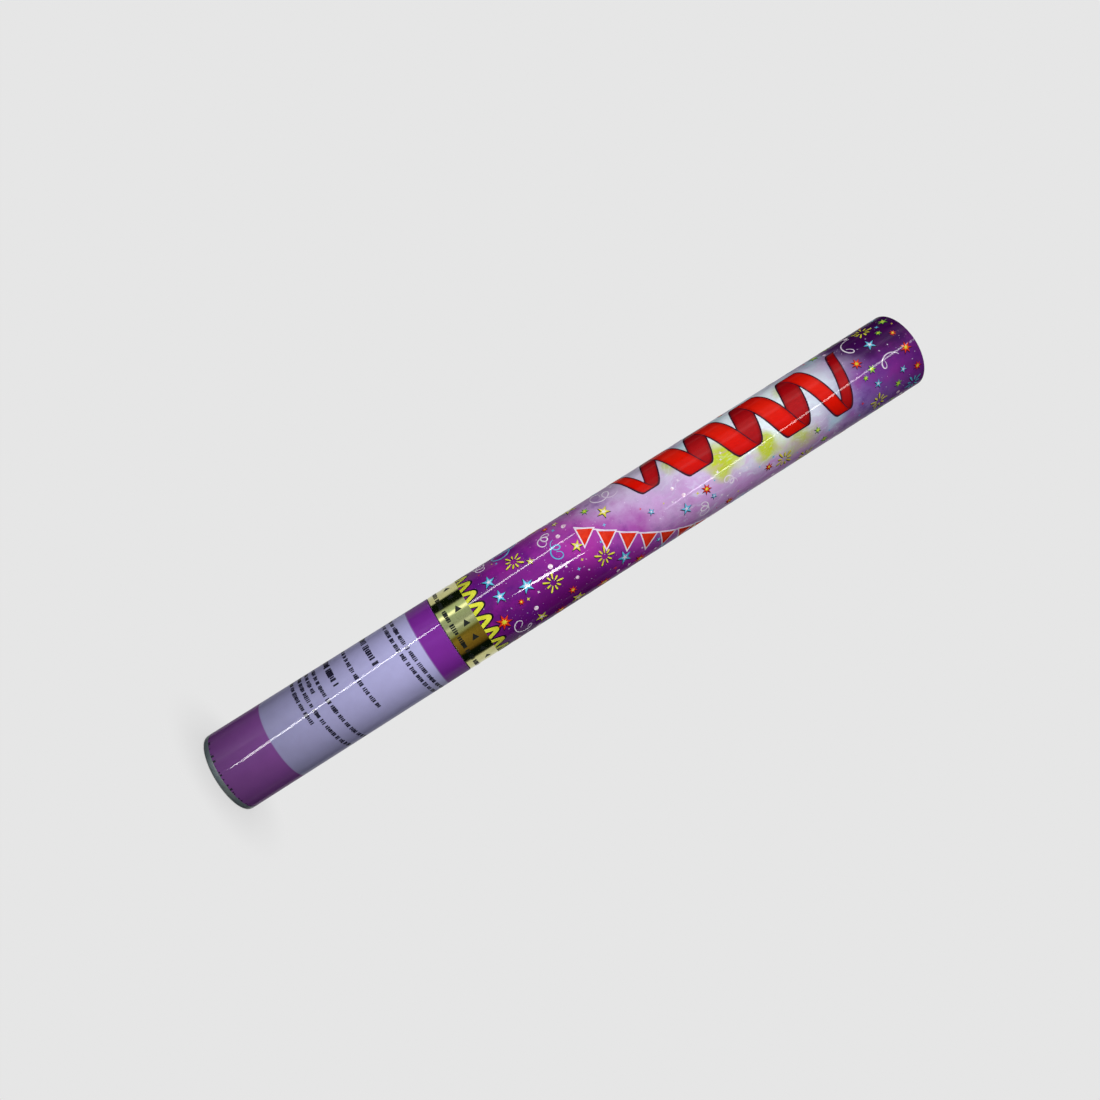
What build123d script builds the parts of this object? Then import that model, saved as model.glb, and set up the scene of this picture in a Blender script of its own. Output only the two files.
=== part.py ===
from build123d import *

import math
import os

# Confetti popper that is fired by a quarter turn. The handle is a board tube round a bottle of
# compressed air. The barrel is a second board tube that turns on the bottle's head and holds the
# confetti. Lengths are in millimetres, +Z runs from the base to the muzzle, and the origin is the
# middle of the base.

# Board tubes and their printed wraps
overall_length = 500.0
handle_length = 155.8
tube_bore_radius = 23.5
tube_wall = 1.8
wrap_glue = 0.05
wrap_thickness = 0.25
foil_thickness = 0.1
foil_width = 19.5

# Clearances
seam_gap = 0.7
glue_gap = 0.1
running_gap = 0.15
axial_play = 0.2
slide_gap = 0.3
valve_fit = 0.05
pin_fit = 0.02

# Moulded cap that closes the base
rim_height = 3.8
rim_round = 1.6
foot_recess = 1.6
foot_width = 4.2
cap_skirt_depth = 22.0
cap_skirt_wall = 1.6
cap_rib_count = 6
cap_rib_height = 7.0
cap_rib_thickness = 1.6
port_radius = 3.0
port_boss_wall = 2.0
port_boss_gap = 0.4

# Air bottle
bottle_gap = 0.3
bottle_wall = 1.4
bottle_heel_round = 9.0
shoulder_height = 13.0
shoulder_round = 9.0
neck_root_round = 3.0
neck_length = 18.0
neck_bore_radius = 8.5
neck_wall = 2.6
bead_reach = 2.2
bead_thickness = 1.6

# One-way valve in the bottle's base
valve_radius = 4.0
valve_flange_radius = 6.6
valve_flange_thickness = 1.4
valve_nose_length = 1.6
valve_barb = 0.6
vent_radius = 0.7
vent_circle_radius = 2.5
vent_count = 4
flap_radius = 5.6
flap_thickness = 1.1
flap_stem_radius = 1.1
flap_bead_radius = 1.5
flap_bead_height = 1.2
flap_fit = 0.05

# Head that screws on the neck, is glued in the handle and carries the barrel
neck_drop = 13.0
thread_gap = 0.1
collar_depth = 12.0
collar_wall = 2.4
flange_thickness = 3.0
head_skirt_depth = 14.0
head_skirt_wall = 1.8
head_rib_count = 6
head_rib_thickness = 1.6
vent_gap = 1.7
spigot_wall = 2.4
spigot_chamfer = 0.6
washer_thickness = 0.8
washer_width = 5.5

# Cam sleeve in the barrel, with a helical slot on each side
twist_angle = 90.0
lift = 6.0
pin_radius = 2.0
pin_gap = 0.25
pin_setback = 0.6
slot_floor = 3.6
slot_roof = 3.4
guide_wall = 4.0
web_thickness = 2.6
sleeve_skirt_wall = 1.8
sleeve_rib_thickness = 1.6
sleeve_rib_height = 9.0

# Retaining ring above the sleeve
ring_thickness = 1.0
ring_reach = 2.0
ring_depth = 1.0
ring_fit = 0.05
ring_opening = 70.0
spigot_lip = 2.0
plenum_height = 4.0

# Release plug
plug_gap = 0.2
seal_section = 1.9
seal_gap = 0.05
seal_groove_width = 2.4
unseat_margin = 1.0
nose_length = 6.0
nose_chamfer = 1.5
land_length = 2.0
stem_radius = 5.0
stem_cap = 5.0
stem_chamfer = 1.0

# Charge of confetti on its wad, and the lid at the muzzle
wad_floor = 1.4
wad_wall = 1.2
wad_height = 12.0
wad_bevel = 0.6
slip_length = 50.0
layer_gap = 0.5
stack_gap = 0.6
sheaf_count = 6
sheaf_gap = 0.3
head_room = 20.0
lid_fit = 0.15
lid_inset = 0.6
lid_plate = 1.0
lid_wall = 0.9
lid_depth = 8.0
lid_bevel = 0.5

# Radii that follow from the sizes above
tube_radius = tube_bore_radius + tube_wall
wrap_inner_radius = tube_radius + wrap_glue
wrap_radius = wrap_inner_radius + wrap_thickness
plug_in_radius = tube_bore_radius - glue_gap
cap_skirt_inner = plug_in_radius - cap_skirt_wall
port_boss_radius = port_radius + port_boss_wall
bottle_radius = cap_skirt_inner - bottle_gap
neck_radius = neck_bore_radius + neck_wall
collar_bore_radius = neck_radius + thread_gap
collar_radius = collar_bore_radius + collar_wall
head_skirt_inner = plug_in_radius - head_skirt_wall
spigot_bore_radius = neck_bore_radius + vent_gap
spigot_radius = spigot_bore_radius + spigot_wall
guide_bore_radius = spigot_radius + running_gap
guide_radius = guide_bore_radius + guide_wall
sleeve_skirt_inner = plug_in_radius - sleeve_skirt_wall
ring_seat_radius = spigot_radius - ring_depth
plug_radius = neck_bore_radius - plug_gap
seal_outer_radius = neck_bore_radius - seal_gap
seal_seat_radius = seal_outer_radius - seal_section - seal_gap
wad_radius = tube_bore_radius - slide_gap
lid_radius = tube_bore_radius - lid_fit

# Heights that follow from the sizes above
seam_z = handle_length
handle_top = seam_z - seam_gap / 2
barrel_bottom = seam_z + seam_gap / 2
bottle_base = rim_height + cap_rib_height
bottle_floor = bottle_base + bottle_wall
valve_nose_z = bottle_base - valve_nose_length
flap_bottom = valve_nose_z - flap_fit - flap_bead_height
port_boss_top = flap_bottom - port_boss_gap
head_face = seam_z - washer_thickness / 2
sleeve_bottom = head_face + washer_thickness + axial_play
mouth_z = head_face - neck_drop
collar_bottom = mouth_z - collar_depth
slot_width = 2 * (pin_radius + pin_gap)
pin_z = sleeve_bottom + slot_floor + slot_width / 2
guide_top = pin_z + lift + slot_width / 2 + slot_roof
ring_bottom = guide_top + axial_play
ring_groove_top = ring_bottom + ring_thickness + 2 * ring_fit
spigot_top = ring_groove_top + spigot_lip
sleeve_top = spigot_top + plenum_height
seal_z = mouth_z - lift + seal_section / 2 + unseat_margin
wad_z = sleeve_top + axial_play
charge_z = wad_z + wad_floor + axial_play
lid_top = overall_length - lid_inset


def turned(*points):
    """Solid of revolution about Z of the closed outline through (radius, z) points."""
    outline = Plane.XZ * make_face(Polyline(*points, close=True))
    return revolve(outline, Axis.Z)


def tube(outer_radius, inner_radius, bottom, top):
    """Plain tube on Z between two heights."""
    ring = Circle(outer_radius) - Circle(inner_radius)
    return Pos(0, 0, bottom) * extrude(ring, top - bottom)


def circles_at(solid, radius, z):
    """Circular edges of a turned solid at one radius and height."""
    return [
        edge for edge in solid.edges().filter_by(GeomType.CIRCLE)
        if abs(edge.radius - radius) < 1e-4 and abs(edge.center().Z - z) < 1e-4
    ]


def around(count):
    """Equal steps round Z, in degrees."""
    return [step * 360 / count for step in range(count)]


def radial_ribs(angles, thickness, inner, outer, bottom, top):
    """Flat ribs between two walls, each sunk a little into both walls."""
    sink = 0.2 * thickness
    length = outer - inner + 2 * sink
    rib = Pos((inner + outer) / 2, 0, (bottom + top) / 2) * Box(length, thickness, top - bottom)
    return [Rot(0, 0, angle) * rib for angle in angles]


def base_cap():
    """Moulded plug with a rounded rim, a recessed foot and ribs that the bottle sits on."""
    skirt_top = rim_height + cap_skirt_depth
    cap = turned(
        (port_radius, foot_recess),
        (wrap_radius - foot_width, foot_recess),
        (wrap_radius - foot_width, 0),
        (wrap_radius, 0),
        (wrap_radius, rim_height),
        (plug_in_radius, rim_height),
        (plug_in_radius, skirt_top),
        (cap_skirt_inner, skirt_top),
        (cap_skirt_inner, rim_height),
        (port_boss_radius, rim_height),
        (port_boss_radius, port_boss_top),
        (port_radius, port_boss_top),
    )
    cap = fillet(circles_at(cap, wrap_radius, 0), rim_round)
    cap = chamfer(circles_at(cap, plug_in_radius, skirt_top), cap_skirt_wall / 2)
    ribs = radial_ribs(
        around(cap_rib_count), cap_rib_thickness, port_boss_radius, cap_skirt_inner,
        rim_height, bottle_base,
    )
    return cap + ribs


def air_bottle():
    """Blown bottle: round outside, thicker in its corners, with a neck bead and a valve hole."""
    shoulder_top = mouth_z - neck_length
    shoulder_bottom = shoulder_top - shoulder_height
    outer = turned(
        (0, bottle_base),
        (bottle_radius, bottle_base),
        (bottle_radius, shoulder_bottom),
        (neck_radius, shoulder_top),
        (neck_radius, mouth_z),
        (0, mouth_z),
    )
    outer = fillet(circles_at(outer, bottle_radius, bottle_base), bottle_heel_round)
    outer = fillet(circles_at(outer, bottle_radius, shoulder_bottom), shoulder_round)
    outer = fillet(circles_at(outer, neck_radius, shoulder_top), neck_root_round)
    side = bottle_radius - bottle_wall
    hollow = turned(
        (0, bottle_floor),
        (side - bottle_heel_round, bottle_floor),
        (side, bottle_floor + bottle_heel_round),
        (side, shoulder_bottom - bottle_wall),
        (neck_bore_radius, shoulder_top - bottle_wall),
        (neck_bore_radius, mouth_z),
        (0, mouth_z),
    )
    bead_top = collar_bottom - slide_gap
    bead = tube(neck_radius + bead_reach, neck_bore_radius, bead_top - bead_thickness, bead_top)
    bead = chamfer(circles_at(bead, neck_radius + bead_reach, bead_top), bead_thickness / 3)
    valve_hole = Pos(0, 0, bottle_base) * Cylinder(valve_radius + valve_fit, 4 * bottle_wall)
    bottle = outer - hollow - valve_hole + bead
    return chamfer(circles_at(bottle, neck_bore_radius, mouth_z), neck_wall / 4)


def fill_valve_body():
    """Flanged bush with vents, snapped into the bottle's base behind a barb."""
    barb_radius = valve_radius + valve_barb
    flange_top = bottle_floor + valve_flange_thickness
    body = turned(
        (0, valve_nose_z),
        (valve_radius, valve_nose_z),
        (barb_radius, bottle_base - valve_fit),
        (valve_radius, bottle_base - valve_fit),
        (valve_radius, bottle_floor + valve_fit),
        (valve_flange_radius, bottle_floor + valve_fit),
        (valve_flange_radius, flange_top),
        (0, flange_top),
    )
    through = 4 * (flange_top - valve_nose_z)
    vent = Pos(vent_circle_radius, 0, bottle_base) * Cylinder(vent_radius, through)
    vents = [Rot(0, 0, angle) * vent for angle in around(vent_count)]
    stem_hole = Pos(0, 0, bottle_base) * Cylinder(flap_stem_radius + flap_fit, through)
    return body - vents - stem_hole


def fill_valve_flap():
    """Rubber umbrella that lies over the vents and is held by the bead on its stem."""
    seat = bottle_floor + valve_flange_thickness + flap_fit
    bead_top = flap_bottom + flap_bead_height
    return turned(
        (0, flap_bottom),
        (flap_stem_radius, flap_bottom),
        (flap_bead_radius, bead_top),
        (flap_stem_radius, bead_top),
        (flap_stem_radius, seat),
        (flap_radius, seat),
        (flap_stem_radius, seat + flap_thickness),
        (0, seat + flap_thickness),
    )


def bottle_head():
    """Moulded head: collar on the neck, ribbed flange in the handle, windowed spigot above."""
    head = turned(
        (collar_bore_radius, collar_bottom),
        (collar_radius, collar_bottom),
        (collar_radius, head_face - flange_thickness),
        (head_skirt_inner, head_face - flange_thickness),
        (head_skirt_inner, head_face - head_skirt_depth),
        (plug_in_radius, head_face - head_skirt_depth),
        (plug_in_radius, head_face),
        (spigot_radius, head_face),
        (spigot_radius, ring_bottom - ring_fit),
        (ring_seat_radius, ring_bottom - ring_fit),
        (ring_seat_radius, ring_groove_top - ring_fit),
        (spigot_radius, ring_groove_top - ring_fit),
        (spigot_radius, spigot_top),
        (spigot_bore_radius, spigot_top),
        (spigot_bore_radius, mouth_z),
        (collar_bore_radius, mouth_z),
    )
    head = chamfer(circles_at(head, spigot_radius, spigot_top), spigot_chamfer)
    ribs = radial_ribs(
        around(head_rib_count), head_rib_thickness, collar_radius, head_skirt_inner,
        head_face - head_skirt_depth, head_face - flange_thickness,
    )
    window_middle = Plane.YZ * Pos(0, pin_z + lift / 2)
    window = window_middle * SlotCenterToCenter(lift, slot_width, rotation=90)
    return head + ribs - extrude(window, spigot_radius + running_gap, both=True)


def thrust_washer():
    """Slippery washer that the turning sleeve bears on."""
    inner = spigot_radius + running_gap
    return tube(inner + washer_width, inner, head_face, head_face + washer_thickness)


def retaining_ring():
    """Open spring ring in the groove of the spigot, which keeps the sleeve down."""
    outer = spigot_radius + ring_reach
    inner = ring_seat_radius + ring_fit
    band = tube(outer, inner, ring_bottom, ring_bottom + ring_thickness)
    reach = 2 * outer
    half_opening = math.radians(ring_opening / 2)
    wedge = make_face(Polyline(
        (0, 0),
        (-reach * math.sin(half_opening), -reach * math.cos(half_opening)),
        (reach * math.sin(half_opening), -reach * math.cos(half_opening)),
        close=True,
    ))
    ring = band - Pos(0, 0, ring_bottom - ring_thickness) * extrude(wedge, 3 * ring_thickness)
    ends = [
        Rot(0, 0, side * ring_opening / 2)
        * Pos(0, -(inner + outer) / 2, ring_bottom + ring_thickness / 2)
        * Cylinder((outer - inner) / 2, ring_thickness)
        for side in (-1, 1)
    ]
    return ring + ends


def helical_slot():
    """Cutter for one cam slot: a radial bar carried up a helix, with round ends."""
    middle = (guide_bore_radius + guide_radius) / 2
    reach = guide_wall + 4 * running_gap
    path = Helix(lift * 360 / twist_angle, lift, middle, center=(0, 0, pin_z))
    start = Plane(origin=path @ 0, x_dir=(1, 0, 0), z_dir=path % 0)
    bar = sweep(start * Rectangle(reach, slot_width), path=path, is_frenet=True)
    end = Pos(middle, 0, pin_z) * Rot(0, 90, 0) * Cylinder(slot_width / 2, reach)
    return bar + end + Rot(0, 0, twist_angle) * Pos(0, 0, lift) * end


def cam_sleeve():
    """Moulded sleeve: skirt glued in the barrel, web, and a guide tube with two cam slots."""
    sleeve = turned(
        (guide_bore_radius, sleeve_bottom),
        (plug_in_radius, sleeve_bottom),
        (plug_in_radius, sleeve_top),
        (sleeve_skirt_inner, sleeve_top),
        (sleeve_skirt_inner, sleeve_bottom + web_thickness),
        (guide_radius, sleeve_bottom + web_thickness),
        (guide_radius, guide_top),
        (guide_bore_radius, guide_top),
    )
    slot = helical_slot()
    sleeve = sleeve - slot - Rot(0, 0, 180) * slot
    between_slots = (180 + twist_angle) / 2
    rib_spread = (180 - twist_angle) / 4
    rib_angles = [
        side + between_slots + step * rib_spread for side in (0, 180) for step in (-1, 1)
    ]
    return sleeve + radial_ribs(
        rib_angles, sleeve_rib_thickness, guide_radius, sleeve_skirt_inner,
        sleeve_bottom, sleeve_bottom + web_thickness + sleeve_rib_height,
    )


def release_plug():
    """Plug that seals the neck, with a stem for the cross pin."""
    groove = seal_groove_width / 2
    land_top = seal_z + groove + land_length
    stem_top = pin_z + stem_cap
    plug = turned(
        (0, seal_z - groove - nose_length),
        (plug_radius - nose_chamfer, seal_z - groove - nose_length),
        (plug_radius, seal_z - groove - nose_length + nose_chamfer),
        (plug_radius, seal_z - groove),
        (seal_seat_radius, seal_z - groove),
        (seal_seat_radius, seal_z + groove),
        (plug_radius, seal_z + groove),
        (plug_radius, land_top),
        (stem_radius, land_top + plug_radius - stem_radius),
        (stem_radius, stem_top - stem_chamfer),
        (stem_radius - stem_chamfer, stem_top),
        (0, stem_top),
    )
    hole = Pos(0, 0, pin_z) * Rot(0, 90, 0) * Cylinder(pin_radius + pin_fit, 4 * stem_radius)
    return plug - hole


def plug_seal():
    """Rubber ring in the plug's groove, drawn as it is squeezed by the neck."""
    return Pos(0, 0, seal_z) * Torus(seal_outer_radius - seal_section / 2, seal_section / 2)


def cross_pin():
    """Steel pin through the stem, the head's windows and the sleeve's cam slots."""
    half_length = guide_radius - pin_setback
    pin = Rot(0, 90, 0) * Cylinder(pin_radius, 2 * half_length)
    return Pos(0, 0, pin_z) * chamfer(pin.edges().filter_by(GeomType.CIRCLE), pin_radius / 5)


def wad():
    """Pressed card cup that pushes the confetti out."""
    inner = wad_radius - wad_wall
    cup = turned(
        (0, wad_z), (wad_radius, wad_z), (wad_radius, wad_z + wad_height), (inner, wad_z + wad_height),
        (inner, wad_z + wad_floor), (0, wad_z + wad_floor),
    )
    return chamfer(circles_at(cup, wad_radius, wad_z), wad_bevel)


def confetti_layer(bottom):
    """One layer of confetti: four stacks of upright paper slips, turned a quarter from each other."""
    half_side = (wad_radius - wad_wall - slide_gap) / math.sqrt(2)
    stack = half_side - stack_gap / 2
    sheaf = (stack - (sheaf_count - 1) * sheaf_gap) / sheaf_count
    slips = []
    for quarter in range(4):
        for step in range(sheaf_count):
            across = stack_gap / 2 + step * (sheaf + sheaf_gap) + sheaf / 2
            slip = Pos(across, (half_side + stack_gap / 2) / 2, bottom + slip_length / 2)
            slips.append(Rot(0, 0, 90 * quarter) * slip * Box(sheaf, stack, slip_length))
    return Compound(children=slips)


def muzzle_lid():
    """Pressed card lid, pushed a little way into the muzzle."""
    inner = lid_radius - lid_wall
    lid = turned(
        (0, lid_top - lid_plate), (inner, lid_top - lid_plate), (inner, lid_top - lid_depth),
        (lid_radius, lid_top - lid_depth), (lid_radius, lid_top), (0, lid_top),
    )
    return chamfer(circles_at(lid, lid_radius, lid_top), lid_bevel)


pieces = {
    "base_cap": base_cap(),
    "handle_tube": tube(tube_radius, tube_bore_radius, rim_height, handle_top),
    "handle_wrap": tube(wrap_radius, wrap_inner_radius, rim_height, handle_top),
    "air_bottle": air_bottle(),
    "fill_valve_body": fill_valve_body(),
    "fill_valve_flap": fill_valve_flap(),
    "bottle_head": bottle_head(),
    "thrust_washer": thrust_washer(),
    "retaining_ring": retaining_ring(),
    "barrel_tube": tube(tube_radius, tube_bore_radius, barrel_bottom, overall_length),
    "barrel_wrap": tube(wrap_radius, wrap_inner_radius, barrel_bottom, overall_length),
    "foil_band": tube(
        wrap_radius + foil_thickness, wrap_radius, barrel_bottom, barrel_bottom + foil_width
    ),
    "cam_sleeve": cam_sleeve(),
    "release_plug": release_plug(),
    "plug_seal": plug_seal(),
    "cross_pin": cross_pin(),
    "wad": wad(),
    "muzzle_lid": muzzle_lid(),
}

layer_pitch = slip_length + layer_gap
layer_count = int((lid_top - lid_depth - head_room - charge_z) / layer_pitch)
for layer in range(layer_count):
    pieces[f"confetti_layer_{layer + 1}"] = confetti_layer(charge_z + layer * layer_pitch)

os.makedirs("parts", exist_ok=True)
for name, piece in pieces.items():
    export_step(piece, f"parts/{name}.step")
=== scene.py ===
import math
import random

import bmesh
import bpy
from mathutils import Matrix, Vector


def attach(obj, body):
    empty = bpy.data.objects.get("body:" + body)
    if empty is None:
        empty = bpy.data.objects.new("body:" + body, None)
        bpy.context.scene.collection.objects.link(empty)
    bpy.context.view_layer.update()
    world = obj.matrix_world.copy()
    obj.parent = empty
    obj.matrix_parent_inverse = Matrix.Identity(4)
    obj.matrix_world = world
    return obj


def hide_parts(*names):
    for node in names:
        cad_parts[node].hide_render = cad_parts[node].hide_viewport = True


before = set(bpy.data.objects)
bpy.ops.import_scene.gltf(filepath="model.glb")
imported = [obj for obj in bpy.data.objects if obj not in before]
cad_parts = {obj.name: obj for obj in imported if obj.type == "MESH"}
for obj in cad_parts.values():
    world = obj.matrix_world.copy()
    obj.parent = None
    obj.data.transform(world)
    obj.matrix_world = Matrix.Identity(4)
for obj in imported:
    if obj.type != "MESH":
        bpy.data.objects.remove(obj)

scene = bpy.context.scene
scene.view_settings.view_transform = "Standard"
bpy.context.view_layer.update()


# Camera. It stands half a metre in front of the popper, below its middle, and is rolled so that
# the tube runs from the lower left to the upper right of the picture.
camera = bpy.data.objects.new("camera", bpy.data.cameras.new("camera"))
across = Vector((0.53397, -0.06850, 0.84273))
upward = Vector((-0.84528, -0.06647, 0.53018))
sight = Vector((-0.01969, 0.99543, 0.09340))
turned_to_sight = Matrix((across, upward, -sight)).transposed().to_4x4()
camera.matrix_world = Matrix.Translation((0, -0.5355, 0.1865)) @ turned_to_sight
camera.data.sensor_width = 36
camera.data.lens = 27.956
camera.data.clip_start = 0.01
scene.collection.objects.link(camera)
scene.camera = camera


# Studio. A pale room and floor of one grey, soft lamps above, behind and for what leaves the muzzle, a
# row of flat lamps close in front of the tube, and three narrow lamps that draw the bright lines along
# the glossy film. A ring of glowing cards, seen only in reflections, paints dark, pale, white and brown
# bands into what the gold shows.
def node(tree, kind, sockets=None, **settings):
    """Adds a node, applies its settings, and fills its sockets with values or with links."""
    made = tree.nodes.new(kind)
    for name, value in settings.items():
        setattr(made, name, value)
    for name, value in (sockets or {}).items():
        if isinstance(value, bpy.types.NodeSocket):
            tree.links.new(value, made.inputs[name])
        else:
            made.inputs[name].default_value = value
    return made


def maths(tree, operation, first, second=0.0):
    """Result of one sum on two values or sockets."""
    return node(tree, "ShaderNodeMath", {0: first, 1: second}, operation=operation).outputs[0]


def parts(tree, place):
    """X, Y and Z of a place."""
    return node(tree, "ShaderNodeSeparateXYZ", {0: place}).outputs


def bearing_at(tree, place):
    """Angle of a place round the tube in radians, 0 at the front."""
    part = parts(tree, place)
    return maths(tree, "ARCTAN2", part["X"], maths(tree, "MULTIPLY", part["Y"], -1.0))


def looking_ray(tree):
    """1 for rays from the camera, a reflection or a clear piece, and 0 for rays that carry light."""
    path = node(tree, "ShaderNodeLightPath").outputs
    direct = maths(tree, "MAXIMUM", path["Is Camera Ray"], path["Is Glossy Ray"])
    return maths(tree, "MAXIMUM", direct, path["Is Transmission Ray"])


def bare_paint(name):
    """New material with an empty node tree."""
    made = bpy.data.materials.new(name)
    made.use_nodes = True
    made.node_tree.nodes.clear()
    return made, made.node_tree


def shown(name, mesh, material=None):
    """Object at the origin for a finished mesh."""
    if material:
        mesh.materials.append(material)
    made = bpy.data.objects.new(name, mesh)
    scene.collection.objects.link(made)
    return made


ROOM_GREY = (0.791, 0.791, 0.791, 1)
room = bpy.data.worlds.new("room")
room.use_nodes = True
room.node_tree.nodes.clear()
seen = node(room.node_tree, "ShaderNodeBackground", {"Color": ROOM_GREY, "Strength": 1.0})
ambient = node(room.node_tree, "ShaderNodeBackground", {"Color": (1, 1, 1, 1), "Strength": 0.05})
either = node(room.node_tree, "ShaderNodeMixShader", {
    0: looking_ray(room.node_tree), 1: ambient.outputs[0], 2: seen.outputs[0]})
node(room.node_tree, "ShaderNodeOutputWorld", {"Surface": either.outputs[0]})
scene.world = room

floor_shape = bmesh.new()
bmesh.ops.create_circle(floor_shape, cap_ends=True, radius=4, segments=96)
floor_mesh = bpy.data.meshes.new("floor")
floor_shape.to_mesh(floor_mesh)
floor_shape.free()
floor_paint, tree = bare_paint("floor_paint")
place = node(tree, "ShaderNodeTexCoord").outputs["Object"]
from_base = node(tree, "ShaderNodeVectorMath", {0: place}, operation="LENGTH").outputs["Value"]
fade = node(tree, "ShaderNodeMapRange", {
    "Value": from_base, "From Min": 0.024, "From Max": 0.062, "To Min": 0.0, "To Max": 1.0},
    interpolation_type="SMOOTHSTEP")
shaded = node(tree, "ShaderNodeBsdfDiffuse", {"Color": (0.08, 0.08, 0.08, 1)})
glow = node(tree, "ShaderNodeEmission", {"Color": ROOM_GREY, "Strength": 1.0})
looked_at = looking_ray(tree)
lift = node(tree, "ShaderNodeEmission", {
    "Color": ROOM_GREY, "Strength": maths(tree, "MULTIPLY", looked_at, 0.80)})
near = node(tree, "ShaderNodeAddShader", {0: shaded.outputs[0], 1: lift.outputs[0]})
away = maths(tree, "MULTIPLY", looked_at, fade.outputs[0])
mixed = node(tree, "ShaderNodeMixShader", {0: away, 1: near.outputs[0], 2: glow.outputs[0]})
node(tree, "ShaderNodeOutputMaterial", {"Surface": mixed.outputs[0]})
floor = shown("floor", floor_mesh, floor_paint)
floor.visible_glossy = False


def lamp(name, start, end, width, radiance, aim):
    """Flat lamp from start to end, turned to face aim. Radiance is what a mirror would show."""
    start, end, aim = Vector(start), Vector(end), Vector(aim)
    along = (end - start).normalized()
    middle = (start + end) / 2
    back = (middle - aim) - along * (middle - aim).dot(along)
    back.normalize()
    light = bpy.data.lights.new(name, "AREA")
    light.shape = "RECTANGLE"
    light.size, light.size_y = (end - start).length, width
    light.energy = radiance * math.pi * light.size * light.size_y
    made = bpy.data.objects.new(name, light)
    turn = Matrix((along, back.cross(along), back)).transposed().to_4x4()
    made.matrix_world = Matrix.Translation(middle) @ turn
    made.visible_camera = False
    scene.collection.objects.link(made)
    return made


soft_lamps = [
    ("launch_lamp", (-0.46, -0.52, 1.0), (-0.16, -0.68, 1.0), 0.3, 2.7, (0, 0, 0.83), 60),
    ("top_lamp", (-0.5, 0, 2.4), (0.5, 0, 2.4), 1.0, 3.8, (0, 0, 0.5), 115),
    ("back_left_lamp", (-0.44, 0.66, 0.4), (-0.10, 0.79, 0.4), 0.5, 3.3, (0, 0, 0.25), 115),
    ("back_right_lamp", (0.10, 0.79, 0.4), (0.44, 0.66, 0.4), 0.5, 3.3, (0, 0, 0.25), 115),
]
FRONT_LEFT, FRONT_RIGHT = (-0.100, -0.134), (0.071, -0.156)
for number, (low, high, radiance) in enumerate((
        (0.005, 0.10, 0.76), (0.10, 0.16, 3.05), (0.16, 0.42, 2.07), (0.42, 0.54, 1.63))):
    height = (low + high) / 2
    soft_lamps.append((f"front_lamp_{number + 1}", (*FRONT_LEFT, height), (*FRONT_RIGHT, height),
                       high - low, radiance, (0, 0, height), 170))
for name, start, end, width, radiance, aim, spread in soft_lamps:
    soft_lamp = lamp(name, start, end, width, radiance, aim)
    soft_lamp.visible_glossy = False
    soft_lamp.data.spread = math.radians(spread)

not_in_lines = bpy.data.collections.new("not_in_lines")
for name, start, end, width, radiance in (
    ("low_line_lamp", (-0.062, -0.495, -0.144), (-0.600, -0.500, 0.344), 0.032, 50),
    ("high_line_lamp", (0.905, -1.612, 0.742), (-0.079, -1.390, 1.329), 0.06, 32),
    ("short_line_lamp", (0.075, -1.22, 0.272), (0.245, -1.22, 0.378), 0.085, 95),
):
    line_lamp = lamp(name, start, end, width, radiance, (0, 0, 0.25))
    line_lamp.visible_diffuse = False
    line_lamp.light_linking.receiver_collection = not_in_lines

CARD_RADIUS, CARD_STEP = 2.4, 2
cards = bpy.data.meshes.new("cards")
card_points, card_faces = [], []
for start, end, low, high in (
    (-106, 106, -3, 5), (-140, -108, -3, -0.16), (-140, -108, 0.28, 5),
    (108, 140, -3, -0.16), (108, 140, 0.28, 5),
):
    for bearing in range(start, end, CARD_STEP):
        first, beside = len(card_points), bearing + CARD_STEP
        card_points += [
            (CARD_RADIUS * math.sin(math.radians(a)), -CARD_RADIUS * math.cos(math.radians(a)), z)
            for a, z in ((bearing, low), (beside, low), (beside, high), (bearing, high))]
        card_faces.append(range(first, first + 4))
cards.from_pydata(card_points, [], card_faces)
card_cloth, tree = bare_paint("card_cloth")
bearing = bearing_at(tree, node(tree, "ShaderNodeTexCoord").outputs["Object"])
share = maths(tree, "MULTIPLY_ADD", bearing, 0.5 / math.pi)
share.node.inputs[2].default_value = 0.5
tones = node(tree, "ShaderNodeValToRGB", {"Fac": share})
# Painted reflections: by bearing the cards glow dark, pale, white, blue-grey or brown, and the gold band and
# the film reflect these bands.
for bearing_deg, tone in (
    (-140, (0.02, 0.02, 0.03)), (-108, (0.02, 0.02, 0.03)), (-106, (0.15, 0.16, 0.15)),
    (-101, (0.002, 0.004, 0.002)), (-70, (0.002, 0.004, 0.002)), (-64, (0.30, 0.35, 0.32)),
    (-52, (0.34, 0.42, 0.40)), (-48, (0.90, 0.95, 0.95)), (-43, (0.90, 0.95, 0.95)),
    (-38, (0.24, 0.29, 0.28)), (-14, (0.22, 0.25, 0.28)), (-8, (0.48, 0.52, 0.60)),
    (0, (0.24, 0.27, 0.30)), (10, (0.20, 0.22, 0.16)), (18, (0.09, 0.07, 0.015)),
    (30, (0.16, 0.105, 0.026)), (64, (0.11, 0.065, 0.015)), (74, (0.0015, 0.0035, 0.0025)),
    (100, (0.0015, 0.0035, 0.0025)), (106, (0.13, 0.13, 0.12)), (108, (0.02, 0.02, 0.03)),
    (140, (0.02, 0.02, 0.03)),
):
    stops = tones.color_ramp.elements
    stop = stops.new(0.5 + bearing_deg / 360)
    stop.color = (*tone, 1)
stops.remove(stops[0])
stops.remove(stops[-1])
shine = node(tree, "ShaderNodeEmission", {"Color": tones.outputs[0], "Strength": 2.0})
node(tree, "ShaderNodeOutputMaterial", {"Surface": shine.outputs[0]})
card_ring = shown("card_ring", cards, card_cloth)
card_ring.visible_camera = False
card_ring.visible_diffuse = False
card_ring.visible_shadow = False
card_ring.visible_transmission = False


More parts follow.
